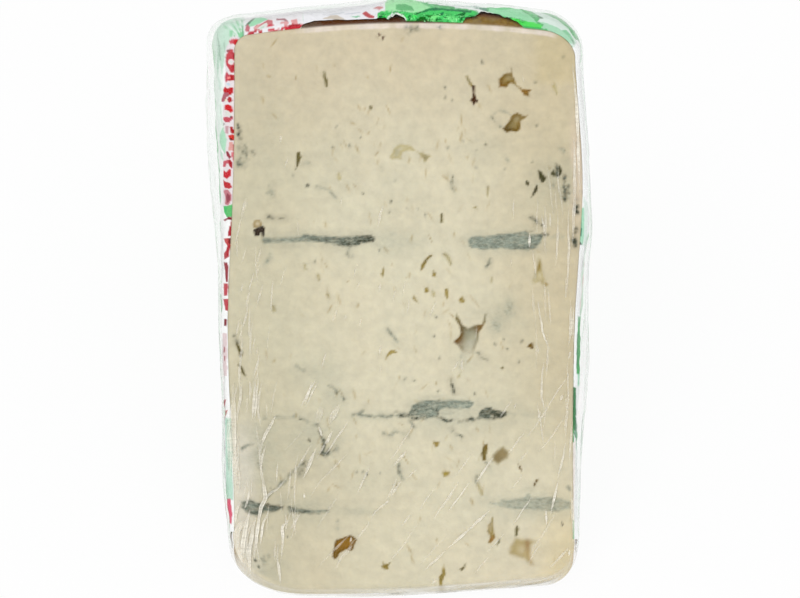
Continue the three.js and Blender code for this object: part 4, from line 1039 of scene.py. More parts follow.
    ((238, 236, 238), (-41.5,149.8, -34.7,150.8, -26.1,151.3, -26.1,147.1, -29.5,146.3, -33.1,145.8,
     -36.7,145, -39.8,143.7, -41.4,143.7)),
    ((164, 222, 184), (-40.9,147.2, -39.8,148.2, -38.5,149.1, -36.7,149.2, -35.2,148.6, -37.3,147.7,
     -39.1,146.9, -39.8,146.7)),
    ((96, 132, 106), (-41,147.1, -39.8,148.3, -38.6,149.1, -38.5,148.9, -39.6,147.9, -40.6,146.8)),
    ((196, 108, 120), (-40.9,146.9, -40.4,147.4, -39.9,146.7, -40,145.6, -40.6,145.2, -41.2,145.8)),
    ((208, 122, 126), (-39,146.4, -38.3,147.2, -36.7,147.7, -35.2,148.5, -34.1,148.4, -33.9,147.5,
     -33.2,146.8, -33.6,146.2, -35.2,145.7, -36.5,145.2, -37.5,145.1, -37.8,145.8, -38.5,145.5)),
    ((226, 168, 166), (-38.9,146.4, -38.3,147, -37,147.5, -37.9,146.3, -38.3,145.6)),
    ((208, 60, 78), (-35.2,147.2, -34.4,147.4, -33.6,146.7, -33.9,145.9, -35.3,145.8)),
    ((228, 230, 224), (-38,146.2, -36.7,147.3, -35.4,147.8, -35.2,147.2, -35.7,146.3, -37,145.9)),
    ((192, 216, 200), (-37.3,146.5, -36.2,146.9, -36.1,146.6, -36.8,146.2)),
    ((190, 16, 34), (-37.8,145.5, -36.7,145.8, -35.4,145.9, -35.6,145.5, -37,144.9, -37.7,145.2)),
    ((160, 42, 60), (-40.8,144.2, -39.8,144.9, -38.8,145.2, -38.6,144.7, -39.8,143.8, -40.7,143.7)),
    ((172, 122, 128), (-33.1,148.9, -31,148.9, -29.9,148.1, -30.2,147.8, -31.3,148.4, -33.1,148.5)),
    ((226, 168, 168), (-32.1,147.9, -30.5,148.2, -29.6,147.7, -30.5,146.8, -31.3,146.4, -31.8,146.7)),
    ((228, 160, 160), (-29.2,148.5, -27.7,148.7, -27.5,147.6, -29.1,147.4)),
    ((192, 16, 34), (-29.1,147.4, -27.7,147.6, -27.4,147.2, -26.5,147.3, -26.7,146.9, -29,146.8)),
    ((238, 238, 241), (-26.1,151.6, -16.6,152.9, -4.9,155.2, -4.9,150.8, -6.8,150.3, -6.7,148,
     -26.1,146.7)),
    ((208, 198, 184), (-21.2,148.8, -19.1,149.6, -17.3,149.7, -15,148.6, -17.6,148.6)),
    # these two are painted shade streaks of the film's folds
    ((205, 208, 216), (-15.5,150, -13.5,150.4, -11.1,150.6, -11.1,150.4, -13.5,150)),
    ((214, 218, 222), (-21.2,149.7, -18.6,150, -15.5,150.6, -15.5,150.3, -18.6,149.7)),
    ((140, 202, 162), (-14,149.4, -11.9,149.6, -11,149.3, -12.4,149.1)),
    ((192, 88, 90), (-10.7,150.3, -9.8,150.8, -8.5,149.7, -7.6,149.4, -7.9,148.9, -9.2,149, -10.6,149.9)),
    ((206, 132, 132), (-7.9,151.5, -7,152, -6.2,152, -5.3,151.7, -6.2,151.2)),
    ((168, 230, 174), (-4.9,157.3, 1.6,156.8, 3.6,153.2, 7,151.8, 4.1,150.4, 2.1,150.1, -1,150.6,
     -4.9,150.6)),
    ((110, 184, 124), (-2.1,152.6, 0.3,152.6, 2.1,151.9, 2.6,151, 0,150.9, -2.1,151.3)),
    ((78, 206, 106), (-6.8,150.3, -6,150.8, -3.1,150.7, -1,150.8, 0.3,150.6, 2.1,150.3, 4.1,150.6,
     6.7,151.6, 9.3,151.7, 11.9,151.4, 14.5,151.2, 17.1,151, 19.1,150.6, 17.6,149, 16.3,148.5, 15.3,147.5,
     9.3,147.7, -4.9,147.8, -6.8,148.2)),
    ((50, 130, 82), (4.1,150.4, 6,151.3, 8,151.7, 10.6,151.4, 14.5,151.2, 17.6,150.9, 17.3,150.4,
     13.2,150.7, 9.3,151, 6.7,150.9, 5.2,150.5)),
    # these three are painted glints on the crumpled foil over the heel
    ((60, 228, 92), (-0.3,149.9, 1.8,149.1, 2.6,149.7, 3.6,149.9, 3.1,148.9, 1.6,148.6, 0,149.3)),
    ((122, 232, 132), (5.8,148.4, 7,149.5, 8,149.9, 9.6,149.6, 8.4,149.1, 7.8,148.3)),
    ((110, 226, 128), (10.9,149.5, 13.2,149.4, 14.2,148.6, 12.4,148.3, 10.6,148.8)),
    # painted shade in the folds of the crumpled foil over the heel
    ((10, 108, 48), (2.6,149.9, 3.9,150.6, 4.6,150.5, 3.1,149.6)),
    ((16, 104, 22), (3.1,148.6, 4.7,149.6, 5.5,149.2, 6.3,148.4, 4.1,148.3)),
    ((24, 118, 30), (5.4,149.9, 7.4,149.7, 6.8,149, 6,149.3)),
    ((30, 130, 80), (9.2,150.1, 10.4,150.6, 10.2,149.9, 9.6,149.7)),
    ((18, 118, 48), (13.3,149.7, 14.7,150.2, 15.3,150.5, 16,150.4, 15.4,149.3, 15.1,148.3, 14.4,148.5,
     14.7,149.6)),
    ((14, 118, 22), (8.1,148.9, 8.7,149.2, 8.7,148.4, 8.2,148.3)),
    ((20, 110, 50), (-6.6,149.3, -6,150.1, -5.3,149.5, -5.7,148.6, -6.3,148.6)),
    ((40, 196, 70), (-5.6,149.7, -4.7,149.5, -4.8,148.5, -5.5,148.6)),
    ((36, 120, 70), (-3.4,150.1, -2.3,150.6, -1.3,150.4, -2.3,149.9)),
    ((234, 234, 224), (-4.2,148.9, -3.5,149.7, -2.3,150, -1,149.9, -0.2,149.4, 0.5,148.4, -0.8,148.4,
     -3.9,148.4)),
    ((70, 66, 36), (-4.9,147.8, -4.8,148.2, 0,148.3, 9.3,148, 11.1,147.8, 11.1,147.5)),
    ((126, 166, 146), (17,151.3, 19.1,151.8, 21.2,151.6, 21.8,150.8, 19.7,150.7, 17.6,151)),
    ((214, 228, 220), (13.2,153.2, 23,153.2, 23,151.9, 21.2,151.8, 17.1,151.4, 13.2,151.5)),
    ((226, 238, 230), (18.6,150.4, 19.4,150.8, 22.2,150.5, 24.1,150, 25.6,149.3, 23.3,149.5, 21.2,149.9,
     19.7,150.2)),
    ((160, 224, 178), (21.7,152.1, 23.5,152.9, 25.6,152.6, 27.9,152.1, 30,151.3, 31.8,150.1, 33.6,148.8,
     34.7,147.2, 33.4,147.6, 30,148.6, 26.1,149.4, 23.8,149.9, 22,150.5)),
    ((130, 212, 150), (23,152.1, 25.6,152.2, 27.9,151.6, 27.4,151.2, 25.1,151.1, 23.3,151.2)),
    ((40, 92, 56), (22.9,152.1, 23.3,152.2, 23.3,151.6, 23,151.5)),
    ((80, 222, 90), (24.6,149.4, 26.4,149.2, 28.7,148.9, 31,148.2, 33.4,147.8, 35.2,147.4, 36.5,146.3,
     34.1,146.4, 31.6,146.8, 29,147.4, 26.4,148.3)),
    ((222, 237, 228), (32.9,150.7, 34.1,150.8, 37.3,149.8, 39.8,148.5, 42.4,146.4, 44.8,142.8, 44,141.3,
     40.4,143.8, 37,145.8, 35.4,146.4, 36.5,147.3, 34.6,148.1, 35.4,149.2)),
    ((110, 140, 116), (34.3,149.5, 34.9,149.5, 36.1,148.9, 35.4,148.8)),
    ((140, 206, 160), (40.3,145.8, 41.9,145.9, 43.1,144.7, 44.4,142.4, 43.5,142.8, 41.9,143.7, 40.6,144.5)),
    ((70, 132, 92), (41.9,144.1, 42.4,144, 43.7,143.2, 44.3,142.2, 43.9,142.1, 42.9,143.4)),
    ((168, 222, 190), (45.3,99.9, 46.6,99.9, 46.6,93.6, 46.3,90, 45,91.6, 44.9,95.2)),
    ((88, 140, 118), (45.4,99.3, 45.8,99.3, 45.9,94.7, 45.5,94.7)),
    ((46, 128, 98), (45.1,94.7, 46,94.7, 45.9,92.5, 45.3,92.6)),
    # painted shadow of the torn foil edge by the right rim
    ((30, 30, 20), (43.9,93.1, 44.6,93.8, 44.9,93.1, 45,91.9, 46.2,90.3, 45.6,90.3, 44.5,91.5)),
    ((172, 222, 192), (45,71.4, 45.8,71.4, 46.3,63.6, 46,54.3, 44.9,53.8, 45,63.1)),
    ((40, 110, 60), (44.9,64.4, 45.5,64.9, 45.5,59.5, 45.1,56.9, 44.8,60)),
    ((238, 242, 240), (44.2,53.8, 48.1,53.8, 48.1,19.1, 44,19.1)),
    ((82, 132, 100), (43.9,45.8, 44.6,45.8, 44.7,40.4, 44.2,40.4)),
    ((150, 190, 164), (44.6,44, 45,44, 45.1,41.4, 44.9,41.4)),
    ((238, 238, 241), (-36.7,146.3, -31,147.5, -31,144.9, -36.7,144.1)),
    ((206, 50, 64), (-35.2,146.2, -30.5,146.9, -26.1,147.4, -26.1,146.3, -30.5,145.4, -31,146, -33.1,145.6,
     -35.2,145.4)),
    ((170, 40, 50), (-29.8,147.1, -26.9,147.5, -26.9,146.9, -29.8,146.5)),
    ((246, 246, 247), (-33.6,146.5, -31.8,146.9, -31.8,146.3, -33.4,146.1)),
    ((190, 60, 72), (-40.6,145, -38.3,146.1, -38.1,145.4, -40.4,144.2)),
    ((236, 243, 238), (-4.7,148.5, -4.1,149.6, -3.6,149.6, -3.1,150.3, -2.1,150.5, -1.3,150.2, -0.5,150.1,
     0,149.5, 0.8,148.5, 0.4,148.5, -0.3,149.3, -0.8,149.7, -2.1,150.1, -2.9,149.8, -3.6,149.2,
     -4.2,148.5)),
    ((238, 242, 239), (3.4,153.4, 9.3,152.8, 15,152, 19.7,151.2, 23.5,150, 21.2,150.4, 17.1,151.2, 11.9,152,
     6.7,152.7)),
    ((240, 232, 226), (42.4,38.3, 44.5,39.8, 44,19.1, 41.9,19.1)),
    ((46, 164, 80), (45.1,71.9, 46.2,71.4, 45.9,63.1, 45.4,56.9, 44.6,56.9, 44.8,65.7)),
    ((28, 120, 60), (43.6,53.8, 44.5,53.3, 44.5,44, 43.9,41.4, 43.4,47.6)),
    ((34, 134, 70), (44.8,67.3, 45.2,67.3, 45,59, 44.6,58.5)),
    ((120, 182, 146), (44.3,42.4, 45,41.9, 45.2,35.7, 44.7,36.2)),
    ((168, 218, 184), (34.7,148.1, 37,147.7, 40.1,146.3, 42.4,144.4, 44.1,142.1, 42.9,142.5, 40.4,144.2,
     37.5,145.6, 35.4,146.3, 36.2,147.2)),
)


def on_side(rim, side):
    """1 on a side of the wheel, easing to 0 round its corners, and the place along that side."""
    facing = {"left": -rim[:, 2], "heel": rim[:, 3], "right": rim[:, 2], "tip": -rim[:, 3]}[side]
    return smooth(facing, 0.45, 0.9), rim[:, 0] if side in ("heel", "tip") else rim[:, 1]


def within(rim, side, low, high):
    """1 between two places along a side of the wheel, with steep ends."""
    share, at = on_side(rim, side)
    ease = 0.7
    return share * smooth(at, low - ease, low + ease) * (1 - smooth(at, high - ease, high + ease))


def bulge(rim, nearest):
    """How far the foil stands out from the rind: bells along the sides and a fold at the corner,
    rising behind the rims."""
    out = CORNER_OUT * np.maximum(-2 * rim[:, 2] * np.maximum(rim[:, 3], 0), 0) ** 2
    for side, middle, reach, height in BULGES:
        share, at = on_side(rim, side)
        out = out + height * share * bell((at - middle) / reach)
    return out * smooth(nearest, 0.2, 5)


def foil_height(rim, u, v):
    """Height of the crumpled foil over the rind: the sizes of soft fields, so that it creases sharply
    where a field passes through nothing. It is crumpled finely next to its edge over the heel."""
    broad = 0.5 * np.abs(cloud(u, v, 9, 101)) + 0.34 * np.abs(cloud(u, v, 4.2, 102))
    fine = 0.2 * np.abs(cloud(u, v, 1.9, 103)) + 0.08 * np.abs(cloud(u, v, 0.9, 104))
    lively = within(rim, *CRUMPLED) * (1 - smooth(v, 6, 12))
    sharp = np.abs(cloud(u, v, 1.6, 105)) + 0.6 * np.abs(cloud(u + v, v, 0.8, 106))
    return (broad + fine) * (0.2 + 0.8 * smooth(v, 0.5, 5)) + 0.45 * lively * sharp * smooth(v, 0.2, 1)


def torn_edge(rim, along):
    """How far behind the rim the foil's front edge lies: by the table, a little jagged."""
    edge = np.full(len(rim), FOIL_EDGE)
    for side, rows in TORN_EDGE.items():
        share, at = on_side(rim, side)
        edge = edge + share * (np.interp(at, *np.array(rows).T) - FOIL_EDGE)
    jagged = 0.5 * clouds(along, 0 * along, 2.3, 111) + 0.35 * np.abs(cloud(along, 0 * along, 0.9, 113))
    edge = edge + 0.3 * jagged * smooth(edge, 0.4, 2)
    return np.clip(edge, 0.25, 0.45 * thickness(rim))


def lined_up(points):
    """Across and up on the front cut face where points line up with it, for a camera far in front."""
    behind = -points @ OUT_OF_FACE
    up = points @ np.array((0, math.cos(WEDGE_ANGLE), math.sin(WEDGE_ANGLE))) - TIP_RADIUS
    middle, centre, distance = CAMERA_AT
    shrunk = distance / (distance + behind)
    return middle + (points[:, 0] - middle) * shrunk, centre + (up - centre) * shrunk


def print_and_light_colours(points, depth):
    """Colours and cover of the print's fields, and of the painted light and shade among them, at points
    of the foil, with slightly uneven outlines. They end where the foil turns away from the front."""
    across, up = lined_up(points)
    colour, cover = np.zeros((len(across), 3)), np.zeros(len(across))
    ragged_x = across + 0.14 * clouds(across, up, 0.9, 161)
    ragged_up = up + 0.14 * clouds(across, up, 0.9, 165)
    for rgb, outline in PRINT_AND_PAINTED_LIGHT:
        at = near(across, up, outline, 0.5)
        if len(at):
            share = smooth(inside_distance(ragged_x[at], ragged_up[at], outline), -0.09, 0.09)
            colour[at] = colour[at] * (1 - share)[:, None] + share[:, None] * linear(rgb)
            cover[at] = cover[at] * (1 - share) + share
    return colour / np.maximum(cover, 1e-6)[:, None], cover * (1 - smooth(depth, 13, 17))


def build_foil(name, finer, row_count, is_strip):
    """A part of the foil: the fine strip behind its torn front edge, or the rest up to its rear edge.
    It is an outer and an inner sheet joined by a narrow strip along all four edges."""
    rim = rim_points(*(finer * cells for cells in WRAP_CELLS))
    kept = np.flatnonzero(rim[:, 1] > np.where(rim[:, 0] < 0, *FOIL_ENDS))
    rim = rim[kept[0]:kept[-1] + 1]
    along = lengths(rim[:, :2])
    edge = torn_edge(rim, along)
    rear = thickness(rim) - nominal(rim, FOIL_REAR)
    split = edge + np.minimum(STRIP, 0.4 * (rear - edge))
    share = np.linspace(0, 1, row_count)[:, None]
    depths = edge + (split - edge) * share if is_strip else split + (rear - split) * share ** 1.5
    rows, directions = flank_rows(rim, depths, closed=False)
    u = np.broadcast_to(along, depths.shape)
    height = FOIL_LIFT * (0.4 + 0.6 * smooth(depths, 0.3, 1.5)) + foil_height(rim, u, depths)
    height = height + bulge(rim, np.minimum(depths, thickness(rim) - depths))
    inner = rows + height[..., None] * directions
    outer = inner + FOIL_SHEET * directions
    top = np.arange(depths.size).reshape(depths.shape)
    under = top + depths.size
    strips = (top, under[::-1], np.stack((under[0], top[0])), np.stack((top[-1], under[-1])),
              np.stack((top[:, 0], under[:, 0])), np.stack((under[:, -1], top[:, -1])))
    paint, painted = print_and_light_colours(outer.reshape(-1, 3), depths.ravel())
    crumpled = within(rim, *CRUMPLED) * (1 - smooth(depths, 1.6, 3))
    print_map = np.stack((u, depths), -1).reshape(-1, 2)
    return add_piece(name, np.concatenate((outer.reshape(-1, 3), inner.reshape(-1, 3))),
                     [band_faces(strip, False) for strip in strips], {"paint": np.tile(paint, (2, 1))},
                     {"painted": np.tile(painted, 2), "crumpled": np.tile(crumpled.ravel(), 2)},
                     {"print": np.tile(print_map, (2, 1))})


def inside_shape(shader, across, along, is_oval=True):
    """1 inside an oval or a diamond whose half width and half height are 1: where the squares, or
    the sizes, of the distances from its middle add up to less than 1."""
    if is_oval:
        parts = [shader.math("MULTIPLY", part, part) for part in (across, along)]
    else:
        parts = [shader.math("ABSOLUTE", part) for part in (across, along)]
    return shader.ramp(shader.math("ADD", *parts), 0.9, 1.1, 1.0, 0.0)


def from_cell_middle(shader, steps):
    """Distance from the middle of a cell, in cells, for a place counted in cells."""
    return shader.math("SUBTRACT", shader.math("FRACT", steps), 0.5)


def border_print(shader, u, v):
    """Colour and cover of the border: white, with red ovals that have a white eye, and red diamonds
    between them."""
    away = shader.math("SUBTRACT", v, BORDER_DEPTH)
    step = shader.math("DIVIDE", u, BORDER_CELL)
    in_cell = shader.math("MULTIPLY", from_cell_middle(shader, step), BORDER_CELL)
    shifted = from_cell_middle(shader, shader.math("ADD", step, 0.5))
    between = shader.math("MULTIPLY", shifted, BORDER_CELL)

    def shape(aside, wide, tall, is_oval=True):
        """A shape as wide and tall as shares of the cell and of the border."""
        return inside_shape(shader, shader.math("DIVIDE", aside, wide * BORDER_CELL),
                            shader.math("DIVIDE", away, tall * BORDER_HALF), is_oval)

    ring = shader.math("SUBTRACT", shape(in_cell, 0.37, 0.95), shape(in_cell, 0.11, 0.3), clamp=True)
    red = shader.math("MAXIMUM", ring, shape(between, 0.12, 0.8, False))
    colour = shader.blend(red, opaque(BORDER_WHITE), opaque(BORDER_RED))
    size = shader.math("ABSOLUTE", away)
    return colour, shader.ramp(size, BORDER_HALF * 1.05, BORDER_HALF * 1.15, 1.0, 0.0)


def foil_material():
    """Bright green print on thin metal with fine dark dots and a border, under the fields that show
    beside the cut face. Its facets and wrinkles are painted lighter and darker as if lit, its folds
    are painted with shade, and it is flecked with painted glints and shade where it is crumpled."""
    shader = Shader("printed_foil_green")
    spot = shader.add("TexCoord").outputs["Object"]
    sheet = shader.add("UVMap", {"uv_map": "print"}).outputs[0]
    u, v, _ = shader.add("SeparateXYZ", Vector=sheet).outputs
    painted = shader.attribute("painted")
    wrinkle = shader.noise(spot, 260, 3, 0.6)
    dot_u, dot_v = (from_cell_middle(shader, shader.math("DIVIDE", way, DOT_CELL)) for way in (u, v))
    dots = inside_shape(shader, *(shader.math("DIVIDE", way, DOT_REACH) for way in (dot_u, dot_v)))
    bent = shader.add("TexNoise", Vector=spot, Scale=60).outputs["Color"]
    bent = shader.add("VectorMath", {"operation": "SCALE"}, i0=bent, Scale=0.024).outputs[0]
    bent = shader.add("VectorMath", i0=spot, i1=bent).outputs[0]
    settings = {"feature": "DISTANCE_TO_EDGE"}
    ridges = shader.add("TexVoronoi", settings, Vector=bent, Scale=FACETS_PER_METRE).outputs[0]
    facet = shader.add("TexVoronoi", Vector=bent, Scale=FACETS_PER_METRE).outputs["Color"]
    facet = shader.add("SeparateColor", Color=facet).outputs[0]
    # painted light: facets and wrinkles lighter or darker as the light would fall on them
    painted_facet_light = shader.math("ADD", shader.math("MULTIPLY", facet, 0.3), shader.math("MULTIPLY", wrinkle, 0.65))
    green = shader.blend(painted_facet_light, opaque(GREEN), opaque(GREEN_PAINTED_LIGHT))
    # painted shade in the folds
    green = shader.blend(shader.ramp(ridges, 0.0, 0.08, 0.2, 0.0), green, opaque(GREEN_PAINTED_FOLD_SHADE))
    green = shader.blend(shader.math("MULTIPLY", dots, 0.3), green, opaque(GREEN_DOT))
    border, border_cover = border_print(shader, u, v)
    colour = shader.blend(border_cover, green, border)
    colour = shader.blend(painted, colour, shader.attribute("paint", "Color"))
    crumpled = shader.attribute("crumpled")
    # painted glints and painted shade where the foil is crumpled
    for offset, per_metre, low, rgb, share in PAINTED_GLINTS_AND_SHADE:
        painted_fleck = shader.noise(shader.mapped(spot, offset=offset), per_metre, 3, 0.65)
        painted_fleck = shader.ramp(painted_fleck, low, low + 0.07, 0.0, share)
        colour = shader.blend(shader.math("MULTIPLY", painted_fleck, crumpled), colour, opaque(rgb))
    relief = shader.math("ADD", wrinkle, shader.math("MULTIPLY", dots, -0.15))
    relief = shader.math("ADD", relief, shader.ramp(ridges, 0.0, 0.5, 0.0, 1.6))
    bump = shader.add("Bump", Strength=0.55, Distance=0.0008, Height=relief).outputs[0]
    metal = shader.ramp(painted, 0.0, 1.0, 0.3, 0.0)
    gloss = shader.ramp(painted, 0.0, 1.0, 0.5, 0.02)
    return shader.finish(shader.add("BsdfPrincipled", Base_Color=colour, Metallic=metal, Roughness=0.4,
                                    Normal=bump, Specular_IOR_Level=gloss))


printed = foil_material()
for foil in (build_foil("printed_foil_edge", finer=FINER, row_count=STRIP_ROWS, is_strip=True),
             build_foil("printed_foil", finer=1, row_count=FOIL_ROWS, is_strip=False)):
    foil.data.materials.append(printed)
    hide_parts("foil_wrap")


# ---------------------------------------------------------------- the clear film
# Stretched cling film, a hundredth of a millimetre thick, drawn round the wedge and gathered
# under it. It lies taut on the cut face, creased towards the tip, and stands off the foil in
# loose folds along the left side and over the heel.

FILM_CELLS = (132, 222)
FILM_RINGS = 50  # between the cut faces
FILM_ON_FACE, FILM_OVER_FOIL = 0.14, 1.05
FILM_WHITE = (250, 251, 249)
FILM_FOLDS = (  # side, where along it, how long, how far the film stands out
    ("left", 126, 30, 2.2), ("left", 149, 12, 1.2), ("heel", 0, 34, 1), ("right", 66, 26, 2.2),
    ("tip", -8, 26, 1),
)
MILKY = {  # by side: where along it, how milky close to the rim and well behind it
    "left": ((14, 0.03, 0.3), (24, 0.03, 0.4), (32, 0.2, 0.7), (46, 0.2, 0.7), (54, 0.03, 0.6),
     (98, 0.02, 0.5), (138, 0.02, 0.5), (146, 0.05, 0.5)),
    "heel": ((-46, 0.06, 0.4), (-39, 0.02, 0.45), (-25, 0, 0.5), (-6, 0, 0.5), (-3, 0, 0.12), (12, 0, 0.1),
     (17, 0, 0.05), (30, 0, 0.1), (36, 0.06, 0.4)),
    "right": ((12, 0.05, 0.1), (22, 0.1, 0.3), (30, 0.4, 0.7), (38, 0.4, 0.7), (41, 0.1, 0.6),
     (52, 0.15, 0.6), (56, 0.1, 0.5), (70, 0.1, 0.5), (74, 0.6, 0.9), (88, 0.6, 0.9), (92, 0.1, 0.5),
     (102, 0.1, 0.5), (107, 0.4, 0.6), (138, 0.4, 0.6), (144, 0.2, 0.5)),
    "tip": ((-30, 0.1, 0.3), (-8, 0.3, 0.7), (38, 0.3, 0.7), (44, 0.05, 0.1)),
}


def film_face_height(x, up):
    """Height of the film over a cut face: slow waves, and steeper wrinkles towards the tip that run
    up to the right."""
    wrinkled = smooth(-up, -62, -20)
    lean = math.radians(57)
    aside = x * math.sin(lean) - up * math.cos(lean)
    along = x * math.cos(lean) + up * math.sin(lean)
    ridges = np.abs(cloud(aside, along / 6, 3.4, 121)) + 0.5 * np.abs(cloud(aside, along / 5, 1.7, 123))
    return FILM_ON_FACE + 0.1 * (1 + clouds(x, up, 15, 125)) / 2 + wrinkled * 0.14 * ridges


def film_flank_height(rim, u, v, whole):
    """Height of the film over the flank: it rises over the foil and stands out in folds that run along
    the rim, which are highest midway between the cut faces."""
    nearest = np.minimum(v, whole - v)
    step = FILM_OVER_FOIL - FILM_ON_FACE
    over = FILM_ON_FACE + step * smooth(nearest, 0, 2.6) * smooth(rim[:, 1], 8, 18)
    over = over + bulge(rim, nearest)
    folds = np.zeros(len(rim))
    for side, middle, reach, out in FILM_FOLDS:
        share, at = on_side(rim, side)
        folds = np.maximum(folds, out * share * bell((at - middle) / reach))
    over = over + np.sin(math.pi * np.clip(v / whole, 0, 1)) ** 0.6 * folds
    ridges = np.abs(cloud(u / 9, v, 3.6, 131)) + 0.6 * np.abs(cloud(u / 5, v + 0.12 * u, 2.2, 133))
    across = np.abs(cloud(u, v / 5, 4.5, 135))
    return over + smooth(nearest, 0.3, 3) * (0.35 * ridges + 0.2 * across)


def film_marks(rim, u, v):
    """How milky the film is over the flank: by the table, in streaks that run along the rim, and less
    towards the middle of the flank, where it hangs clear of the foil."""
    milky = np.zeros(v.shape)
    for side, rows in MILKY.items():
        share, at = on_side(rim, side)
        spots, close, behind = np.array(rows).T
        near_rim, far = np.interp(at, spots, close), np.interp(at, spots, behind)
        far = far + (0.3 - far) * smooth(v, 6, 18)
        milky = np.maximum(milky, share * (near_rim + (far - near_rim) * smooth(v, 2, 6)))
    streaks = clouds(u / 9, v, 1.6, 151) + 0.6 * clouds(u / 4, v - 0.15 * u, 1.1, 155)
    fading = 1 - 0.6 * smooth(v, 12, 30)
    return milky * fading * np.clip(1 + 0.6 * streaks, 0.15, 1.5) * smooth(v, 0.1, 0.6)


def build_film():
    """A closed bag: a grid over the front face, rings down the flank and a grid under the rear."""
    rim = rim_points(*FILM_CELLS)
    whole = thickness(rim)
    share = np.linspace(0, 1, FILM_RINGS + 2)[1:-1, None]
    share = np.where(share < 0.5, 0.5 * (2 * share) ** 1.7, 1 - 0.5 * (2 - 2 * share) ** 1.7)
    depths = share * whole
    rows, directions = flank_rows(rim, depths)
    u = np.broadcast_to(lengths(rim[:, :2]), depths.shape)
    rings = rows + film_flank_height(rim, u, depths, whole)[..., None] * directions
    x, up = face_grid(rim, FILM_CELLS)
    front = place(x, up, WEDGE_ANGLE) + film_face_height(x, up)[:, None] * OUT_OF_FACE
    rear = place(x, up, 0) + FILM_ON_FACE * DOWN
    front_grid = grid_numbers(0, *FILM_CELLS)
    ring_numbers = len(front) + np.arange(depths.size).reshape(depths.shape)
    rear_grid = grid_numbers(len(front) + depths.size, *FILM_CELLS)
    bands = np.concatenate((grid_ring(front_grid)[None], ring_numbers, grid_ring(rear_grid)[None]))
    faces = [grid_faces(front_grid), band_faces(bands), grid_faces(rear_grid)[:, ::-1]]
    milky = np.concatenate((0 * x, film_marks(rim, u, depths).ravel(), 0 * x + 0.3))
    on_face = np.stack((x, up), -1)
    wrap = np.concatenate((on_face, np.stack((u, depths), -1).reshape(-1, 2), on_face))
    return add_piece("clear_film", np.concatenate((front, rings.reshape(-1, 3), rear)), faces,
                     values={"milky": milky}, maps={"wrap": wrap})


def film_material(name, least, milky_share, is_folded):
    """Clear film: see-through but for a faint haze, which grows in fine streaks where it is milky and
    where it is seen edge on, and a sharp gloss."""
    shader = Shader(name)
    wrap = shader.add("UVMap", {"uv_map": "wrap"}).outputs[0]
    fine = shader.noise(shader.mapped(wrap, 0.12), 1.3, 3, 0.6)
    haze = shader.math("MULTIPLY", shader.attribute("milky"), shader.ramp(fine, 0.3, 0.7, 0.6, 1.35))
    haze = shader.math("MULTIPLY", haze, milky_share)
    edge = shader.add("LayerWeight", i0=0.25).outputs["Facing"]
    edge = shader.math("MULTIPLY", shader.math("POWER", edge, 3.0), 0.03)
    opacity = shader.math("ADD", shader.math("ADD", haze, edge), least, clamp=True)
    colour = opaque(FILM_WHITE)
    # a crease's white passes into its painted shade line
    if is_folded:
        colour = shader.blend(shader.attribute("shade"), opaque(CREASE_LIT), opaque(CREASE_SHADE))
    bump = shader.add("Bump", Strength=0.25, Distance=0.0002, Height=fine).outputs[0]
    clear = shader.add("BsdfTransparent").outputs[0]
    surface = shader.add("BsdfPrincipled", Base_Color=colour, Roughness=0.16, Normal=bump,
                         Specular_IOR_Level=0.7).outputs[0]
    return shader.finish(shader.add("MixShader", i0=opacity, i1=clear, i2=surface))


film = build_film()
film.data.materials.append(film_material("clear_film", least=0.006, milky_share=1.0, is_folded=False))
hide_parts("cling_film")


# ---------------------------------------------------------------- creases in the film
# Where the stretched film gathered it folded on itself. Each crease is a thin flat fold of doubled
# film: two bright bent edges, the doubled film's whiteness with a painted highlight, a milky veil
# between them, and a thin painted shade line on one side.

